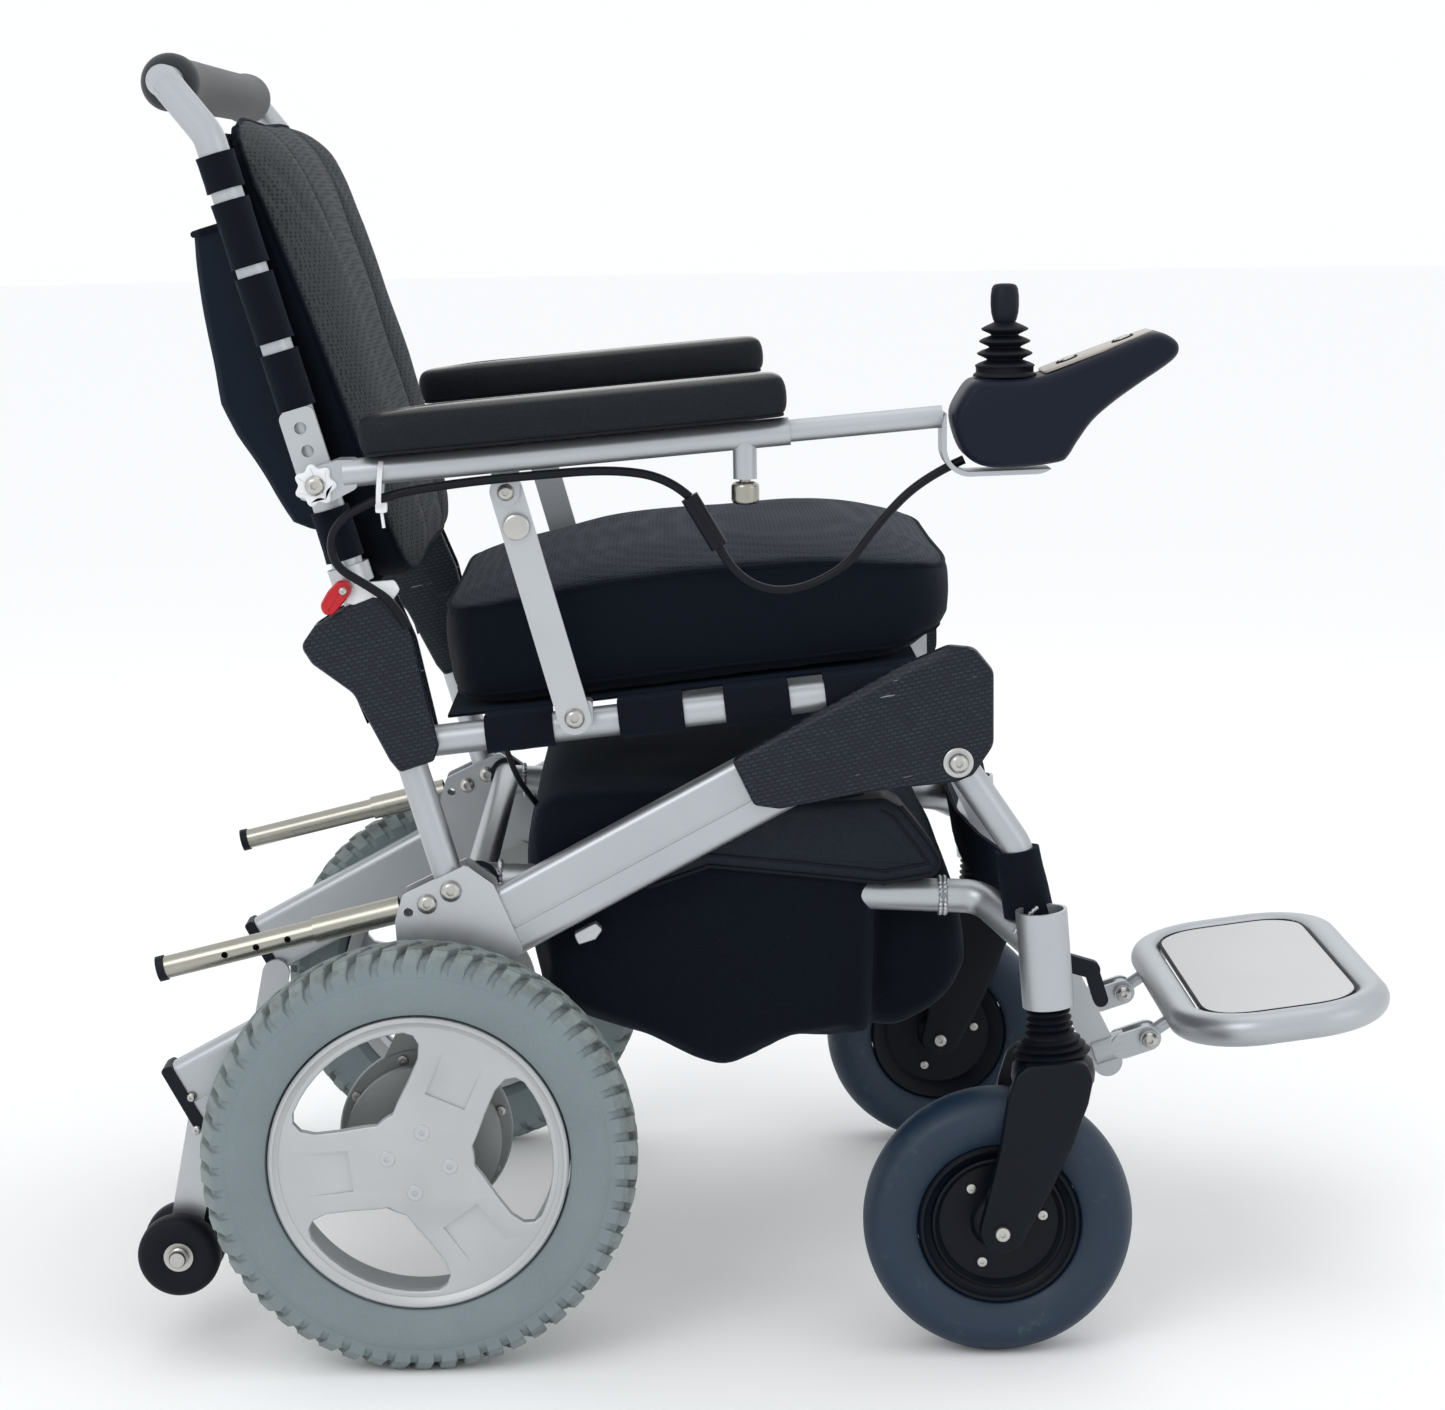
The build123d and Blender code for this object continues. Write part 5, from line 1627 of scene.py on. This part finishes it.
def makeCalfStrap(c):
    # a wide band from leg to leg, wrapped round each and sewn back on itself
    meshes = []
    top, low = Vector((443.5, 0, 375)), Vector((452.5, 0, 322))
    run = (top - low).normalized()
    ahead = Vector((run.z, 0, -run.x))
    for side in (-1, 1):
        rings = []
        for step in range(9):
            share = step / 8
            middle = low + (top - low) * (0.06 + 0.9 * share)
            y = side * (232 + 6 * (1 - share) * 0.9)
            spread = 1 + 0.16 * (1 - share)
            ring = []
            for number in range(28):
                turn = 2 * pi * number / 28
                radius = 14.6 * spread + 0.6 * noise.noise(Vector((share * 2, number * 0.4, side)))
                place = middle + ahead * cos(turn) * radius * 1.12
                ring.append(at(place.x, place.z, y + sin(turn) * radius))
            rings.append(ring)
        meshes.append(loft(rings))
    rings = []
    for column in range(41):
        y = -222 + 444 * column / 40
        slack = 20 * (1 - (y / 222) ** 2)
        ring = []
        for height, depth in ((0.0, 0), (1.0, 0), (1.0, c["thickness"]), (0.0, c["thickness"])):
            middle = low + (top - low) * (0.1 + 0.82 * height)
            place = middle - ahead * (10.5 + slack - depth + 1.2 * noise.noise(Vector((y * 0.03, height, 7))))
            ring.append(at(place.x, place.z, y))
        rings.append(ring)
    meshes.append(loft(rings))
    piece = addPiece("calfStrap", joinMeshes("calfStrap", meshes), "webbing", "front_frame", "calf_strap", 40)


makeCalfStrap(calfStrap)
print("calf strap made")

# arm pads
armPad = {"rear": 14.0, "front": 318.0, "low": 11.4, "middle": 275.0, "halfWidth": 25.0}
armStart, armRise = (-40.0, 662.0), 4.6


def onArm(along, above, y):
    return at(*stepFrom(stepFrom(armStart, armRise, along), armRise + 90, above), y)


def makeArmPad(side, p):
    out = -1 if side == "right" else 1
    rings = []
    for height, shrink in ((0, 9), (1.2, 4.5), (4, 1.4), (9, 0), (18, -0.4), (24, 0.6), (27.6, 2.8),
                           (29.8, 6), (31, 11), (31.4, 17)):
        ring = []
        for along, y in oblong(p["rear"] + shrink, p["front"] - shrink, p["halfWidth"] - shrink, 26, 72):
            crown = 0.8 * (1 - (y / p["halfWidth"]) ** 2) if height > 26 else 0
            drop = 2.4 * smoothStep(p["rear"] + 60, p["rear"], along) * height / 31
            ring.append(onArm(along, p["low"] + height + crown - drop, out * (p["middle"] + y)))
        rings.append(ring)
    piece = addPiece("armPad_" + side, loft(rings), "leatherette", "armrest_" + side, "arm_pad_" + side, 0)
    rounding = piece.modifiers.new("round", "SUBSURF")
    rounding.levels = 1
    rounding.render_levels = 1
    settle(piece)
    piece.data.shade_smooth()
    line = [onArm(along, p["low"] + 1.4, out * (p["middle"] + y)) for along, y in
            oblong(p["rear"] + 4, p["front"] - 4, p["halfWidth"] - 4, 26, 120)]
    seamTube("armPadEdge_" + side, line + line[:1], 1.2, "bellowsRubber", "armrest_" + side)


for padSide in ("right", "left"):
    makeArmPad(padSide, armPad)
print("arm pads made")

# covers with a woven look
def insetBy(outline, amounts):
    moved = inset(outline, 1.0)
    return [(a[0] + (b[0] - a[0]) * amount, a[1] + (b[1] - a[1]) * amount)
            for a, b, amount in zip(outline, moved, amounts)]


def lineReach(point, start, end):
    run = Vector((end[0] - start[0], end[1] - start[1])).normalized()
    return abs((point[0] - start[0]) * run.y - (point[1] - start[1]) * run.x)


frontCover = {"outline": [(233, 446), (357, 514), (392, 528.5), (411, 526.5), (425, 509), (425, 454),
                          (410, 432), (398, 427), (334, 421), (268, 409), (249, 412)],
              "corners": [5, 40, 14, 12, 12, 16, 8, 8, 40, 12, 6], "crease": ((233, 446), (357, 514)),
              "facet": 5.5}
rearCover = {"outline": [(-46, 563), (-17, 574), (-9, 568), (4, 536), (20, 460), (16, 449), (-9, 441),
                         (-16, 450), (-30, 478), (-41, 500), (-70, 522), (-78, 535), (-68, 549)],
             "corners": [10, 6, 6, 40, 5, 4, 4, 6, 30, 16, 10, 8, 10]}


def makeFrontCovers(c):
    outline = roundCorners(c["outline"], c["corners"], 4)
    facet = []
    for point in outline:
        near = lineReach(point, *c["crease"])
        tip = smoothStep(240, 262, point[0])           # the facet runs out towards the pointed rear end
        facet.append(1 + (c["facet"] - 1) * (1 - smoothStep(3, 16, near)) * tip)
    for side in (-1, 1):
        rings = []
        for y, amounts in ((243.6, [2.4] * len(outline)), (243.6, [0.0] * len(outline)),
                           (247.0, [0.0] * len(outline)),
                           (249.2, [0.5] * len(outline)), (251.4, [a * 0.9 for a in facet]),
                           (252.4, [a + 1.2 for a in facet]), (252.8, [a + 3 for a in facet])):
            rings.append([at(x, z, side * y) for x, z in insetBy(outline, amounts)])
        yield loft(rings)


addPiece("frontCovers", joinMeshes("frontCovers", list(makeFrontCovers(frontCover))), "carbonTwill",
         "chair_frame", "front_covers", 24)


def makeRearCovers(c):
    outline = roundCorners(c["outline"], c["corners"], 4)
    wall = [point for point in outline if point[0] < -20 and 470 < point[1] < 556]
    for side in (-1, 1):
        yield shell(outline, [(side * y, a) for y, a in ((244.8, 2), (244.8, 0), (247.6, 0), (249.4, 1.2),
                                                         (250.2, 4))])
        yield shell(outline, [(side * y, a) for y, a in ((219.2, 2), (219.2, 0), (216.4, 0), (214.8, 1.2),
                                                         (214.2, 4))])
        rim = [(p, q) for p, q in zip(wall, insetBy(wall, [2.0] * len(wall)))]
        rings = []
        for p, q in rim:
            rings.append([at(*p, side * 218), at(*p, side * 246), at(*q, side * 246), at(*q, side * 218)])
        yield loft(rings)


addPiece("rearCovers", joinMeshes("rearCovers", list(makeRearCovers(rearCover))), "carbonTwill", "backrest",
         "rear_covers", 24)
print("covers made")

# controller
controller = {"middle": -272.0, "halfWidth": 30.0,
              "outline": [(391.5, 699), (394, 683), (401, 669), (415, 661.5), (440, 661), (466, 664),
                          (473, 668.5), (479, 678), (490, 693), (505, 706), (522, 718), (546, 734.5),
                          (550.5, 744), (545, 751), (534, 754.6), (520, 750.5), (490, 739), (458, 727),
                          (445, 723.6), (420, 723.4), (406, 722), (398, 713)]}


def makeController(c):
    smooth = smoothPath([Vector((*p, 0)) for p in c["outline"]], 4, closed=True)
    outline = [(p.x, p.y) for p in smooth]
    w = c["halfWidth"]
    layers = [(-w, 6), (-w + 0.8, 4.4), (-w + 2.6, 2.4), (-w + 6, 0.9), (-w + 10, 0.2), (-w + 15, 0), (0, 0),
              (w - 15, 0), (w - 10, 0.2), (w - 6, 0.9), (w - 2.6, 2.4), (w - 0.8, 4.4), (w, 6)]
    addPiece("podShell", shell(outline, [(c["middle"] + y, amount) for y, amount in layers]), "podPlastic",
             "controller", "controller_shell", 50)
    # top label: a thin film set into the sloping face, its nose rounded
    rise = 19.8
    start = (454, 725.6)
    rings = []
    for height, shrink in ((0.2, 0), (1.5, 0), (2.0, 0.7)):
        ring = []
        for along, y in oblong(2 + shrink, 84 - shrink, 21.5 - shrink, 7, 60):
            slim = 1 - 0.25 * smoothStep(50, 84, along)
            ring.append(at(*stepFrom(stepFrom(start, rise, along), rise + 90, height),
                           c["middle"] + y * slim))
        rings.append(ring)
    addPiece("podLabel", loft(rings), "labelFilm", "controller", "controller_panel", 40)
    for name, along in (("speed", 22.0), ("power", 64.0)):
        foot = stepFrom(start, rise, along)
        middle = at(*foot, c["middle"])
        axis = (at(*stepFrom(foot, rise + 90, 10), c["middle"]) - middle).normalized()
        ring = lathe([(6.6, 1.6), (7.0, 2.8), (7.8, 3.0), (8.2, 2.2), (8.2, 1.6)], middle, axis, 40,
                     looped=True)
        addPiece(name + "Bezel", ring, "mouldedPlastic", "controller", (), 40)
        dome = lathe([(0.01, -2), (5.9, -2), (6.0, 2.6), (5.4, 3.5), (3.4, 4.2), (0.01, 4.4)], middle, axis,
                     36)
        addPiece(name + "Dome", dome, "screwSteel", name + "_button", name + "_button", 40)
    foot = at(430, 726.6, c["middle"])
    up = Vector((0, 0, 1))
    folds = [(0.01, 37), (5.8, 37), (7.0, 36.2), (8.5, 35.2)]
    for number in range(4):
        wide, low = 16.4 + number * 1.5, 31.4 - number * 8.6
        folds += [(wide - 3, low + 1.6), (wide, low), (wide + 0.3, low - 0.9), (wide - 0.4, low - 1.6),
                  (wide - 6.4, low - 4.4), (wide - 6.6, low - 5.2)]
    folds = folds[:-2] + [(20.4, 0.6), (22.5, -1.2), (22.5, -2.5), (0.01, -2.5)]
    boot = addPiece("stickBoot", lathe(folds, foot, up, 56), "bellowsRubber", None, (), 50)
    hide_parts("joystick_boot")
    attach(boot, "controller")
    knob = [(0.01, 33), (6.6, 33.4), (7.2, 35.2), (8.4, 37.4), (9.6, 42), (10.1, 48), (10.0, 54), (9.3, 59),
            (8.2, 61.2), (6.4, 62.2), (3.4, 62.6), (0.01, 62.6)]
    addPiece("stickKnob", lathe(knob, foot, up, 48), "mouldedPlastic", "stick", "joystick", 40)


makeController(controller)
print("controller made")

# push bar grip
pushGrip = {"radius": 19.6, "flare": 1.2}


def makeGrip(g):
    low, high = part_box("push_grip")
    middle = (low + high) / 2
    half = (high.y - low.y) * 500
    r, f = g["radius"], g["flare"]
    profile = [(11.8, -half), (r - 4, -half - 0.4), (r - 1, -half + 1.2), (r + f, -half + 5),
               (r + f, -half + 14), (r - 0.4, -half + 40)]
    for number in range(-4, 5):
        profile.append((r - 0.6 + 0.5 * noise.noise(Vector((number * 0.9, 2, 3))), number * half / 6))
    profile += [(r - 0.4, half - 40), (r + f, half - 14), (r + f, half - 5), (r - 1, half - 1.2),
                (r - 4, half + 0.4), (11.8, half)]
    addPiece("pushGrip", lathe(profile, middle, (0, 1, 0), 56, looped=True), "foamSleeve", "backrest",
             "push_grip", 50)


makeGrip(pushGrip)

# release levers
releaseLever = [(-62, 566), (-60, 559), (-53, 558), (-45, 567), (-39, 575), (-40, 582), (-48, 584),
                (-56, 576)]
for leverSide, sign in (("right", -1), ("left", 1)):
    leverOutline = roundCorners(releaseLever, 7, 4)
    addPiece("releaseLever_" + leverSide, shell(leverOutline, [(sign * y, a) for y, a in (
        (249.8, 1.2), (250.4, 0), (255, 0), (256.6, 1), (257.2, 3))]), "redPlastic", "lever_" + leverSide,
        "release_lever_" + leverSide, 40)

# small hardware
lobedCollar = {"radius": 13.6, "lobes": 7, "depth": 1.6}
hardware = {"head": 1.5, "pivot": (-59.5, 654.6), "strutHead": (74.0, 645.8), "strutFoot": (119.5, 480.2),
            "strutKnob": stepFrom((74.0, 645.8), -75, 26)}


def lobedOutline(c):
    outline = []
    for number in range(c["lobes"] * 12):
        turn = 2 * pi * number / (c["lobes"] * 12)
        reach = c["radius"] + c["depth"] * cos(turn * c["lobes"])
        outline.append((cos(turn) * reach, sin(turn) * reach))
    return outline


def makeHardware(h):
    for side, out in (("right", -1), ("left", 1)):
        x, z = h["pivot"]
        collar = shell([(x + a, z + b) for a, b in lobedOutline(lobedCollar)],
                       [(out * y, a) for y, a in ((276.6, 1), (277.4, 0), (281.2, 0), (282.4, 1.2),
                                                  (282.7, 3))])
        addPiece("armCollar_" + side, collar, "clearPlastic", "backrest", (), 40)
        screwSet("armPivotScrew_" + side, [(at(x, z, out * 282.6), (0, out, 0), 1.45)], "backrest")
        # knurled nut on the strut
        middle = at(*h["strutKnob"], out * 256)
        ridge = loft([[middle + Vector((0.0093, out * y / 1000, w / 1000)) for w in (-0.42, 0.42)] +
                      [middle + Vector((0.0102, out * y / 1000, 0))] for y in (0.4, 4.6)])
        ridges = runTree("knurl", ridge, "ring", "screwSteel",
                         {"Count": 40, "Centre": middle, "Axis": (0, 1, 0)})
        nut = lathe([(0.01, 0), (9.6, 0), (9.6, 4.8), (8.8, 5.6), (7, 5.9), (0.01, 6.1)], middle,
                    (0, out, 0), 40)
        addPiece("strutNut_" + side, joinMeshes("strutNut_" + side, [nut, ridges]), "screwSteel",
                 "strut_" + side, (), 40)
        screwSet("strutHeadScrew_" + side, [(at(*h["strutHead"], out * 262), (0, out, 0), 1.25)],
                 "armrest_" + side)
        screwSet("leverScrew_" + side, [(at(-45, 576, out * 257.2), (0, out, 0), 0.62)], "backrest")
        screwSet("frontPivotScrew_" + side, [(at(398.5, 442.3, out * 255), (0, out, 0), 1.5)], "front_frame")
        # pressed washer under the front screw
        washer = lathe([(8.4, 0), (11, 0), (11, 1.2), (10, 1.8), (8.4, 1.8)], at(398.5, 442.3, out * 252.6),
                       (0, out, 0), 40, looped=True)
        addPiece("frontWasher_" + side, washer, "screwSteel", "front_frame", (), 40)
        # moulded clip over the clamp band
        clip = shell(roundCorners([(-45, 567), (-38, 564), (-10, 568), (-5, 575), (-9, 582), (-38, 580)], 3,
                                  3),
                     [(out * y, a) for y, a in ((243, 1), (243.6, 0), (248, 0), (249, 1.2))])
        addPiece("bandClip_" + side, clip, "clearPlastic", "backrest", (), 40)
        screwSet("clipScrew_" + side, [(at(-22, 573, out * 249), (0, out, 0), 0.6)], "backrest", "cap")
    # each row: forward, height, across, 1 to face outwards or -1 inwards, size
    rows = ((25.6, 351.7, 247, 1, 1.62), (8, 342.3, 247, 1, 1.5), (25.6, 351.7, 217, -1, 1.4),
            (8, 342.3, 217, -1, 1.3), (*h["strutFoot"], 256, 1, 1.5), (-171, 198, 245, 1, 0.72),
            (-168, 173, 245, 1, 0.72))
    spots = [(at(x, z, out * y), (0, facing * out, 0), size)
             for out in (-1, 1) for x, z, y, facing, size in rows]
    screwSet("frameScrews", spots, "chair_frame", node="frame_screws")
    spots = [(at(566, 184.4, y), (0, -1, 0), 1.3) for y in (-87, 57)]
    screwSet("footHingeScrews", spots, "front_frame")


makeHardware(hardware)


# footplate edge
def onPlate(along, y, above):
    return at(*stepFrom(stepFrom((666, 213), 7, along), 97, above), y)


plateEdge = roundCorners([(-61.5, -138.5), (61.5, -138.5), (61.5, 138.5), (-61.5, 138.5)], 42, 10)
edgeLine = [onPlate(along, y, 9.4) for along, y in plateEdge]
seamTube("footplateEdge", edgeLine + edgeLine[:1], 1.3, "bellowsRubber", "footplate")

# welds
welds = {"front_frame": [((392.5, 331.5, 200), (1, 0, 0), 13.0), ((450, 322, 246), (0.7, 0.35, -0.62), 13.2)],
         "chair_frame": [((389, 331.6, 200), (1, 0, 0), 12.9), ((60, 349.6, 200), (1, 0, 0), 12.8)]}


def weldBead(middle, axis, radius, out):
    axis = Vector((axis[0], axis[1] * out, axis[2])).normalized()
    side = axis.orthogonal().normalized()
    other = axis.cross(side)
    line = []
    for number in range(96):
        turn = 2 * pi * number / 96
        reach = radius + 0.35 * sin(turn * 24)
        line.append(middle + (side * cos(turn) + other * sin(turn)) * reach / 1000)
    rings = []
    for number, point in enumerate(line):
        outward = (point - middle).normalized()
        size = (1.7 + 0.35 * sin(2 * pi * number / 4)) / 1000
        rings.append([point + (outward * cos(2 * pi * s / 7) + axis * sin(2 * pi * s / 7)) *
                      size for s in range(7)])
    return loft(rings + rings[:1], caps=False)


for weldBody, beads in welds.items():
    weldMeshes = []
    for (x, z, y), beadAxis, beadRadius in beads:
        for out in (-1, 1):
            weldMeshes.append(weldBead(at(x, z, out * y), beadAxis, beadRadius, out))
    addPiece("welds_" + weldBody, joinMeshes("welds_" + weldBody, weldMeshes), "plateAlloy", weldBody, (), 50)

# cable tie and strap lug
tie = {"place": (-14, 649), "across": 272.5}


def makeTie(t):
    x, z = t["place"]
    loop = []
    for number in range(32):
        turn = 2 * pi * number / 32
        loop.append(at(x + 1.5 * sin(turn), z + 6 + 17.5 * sin(turn), -(t["across"] + 12.5 * cos(turn))))
    rings = []
    for number, point in enumerate(loop):
        rings.append([point + Vector((a, 0, 0)) / 1000 +
                      (point - at(x, z + 6, -t["across"])).normalized() * b / 1000
                      for a, b in ((-1.8, 0), (1.8, 0), (1.8, 1.1), (-1.8, 1.1))])
    band = loft(rings + rings[:1], caps=False)
    head = shell(roundCorners([(x - 4, z - 15), (x + 4, z - 15), (x + 4, z - 8), (x - 4, z - 8)], 1.2, 2),
                 [(-269, 0), (-276, 0)])
    tail = tubeAlong([at(x + k * 0.3, z - 14 - k * 2.4, -273 - k * 0.2) for k in range(6)], 1.2, 8)
    addPiece("cableTie", joinMeshes("cableTie", [band, head, tail]), "clearPlastic", "armrest_right", (), 40)


makeTie(tie)
lugMeshes = []
for out in (-1, 1):
    lugMeshes.append(shell(roundCorners([(115, 315), (131, 323), (136, 318), (131, 311), (118, 307)], 2, 3),
                           [(out * y, a) for y, a in ((226, 0.6), (226.6, 0), (236.4, 0), (237, 0.6))]))
addPiece("strapLugs", joinMeshes("strapLugs", lugMeshes), "plateAlloy", "chair_frame", (), 40)
print("hardware made")
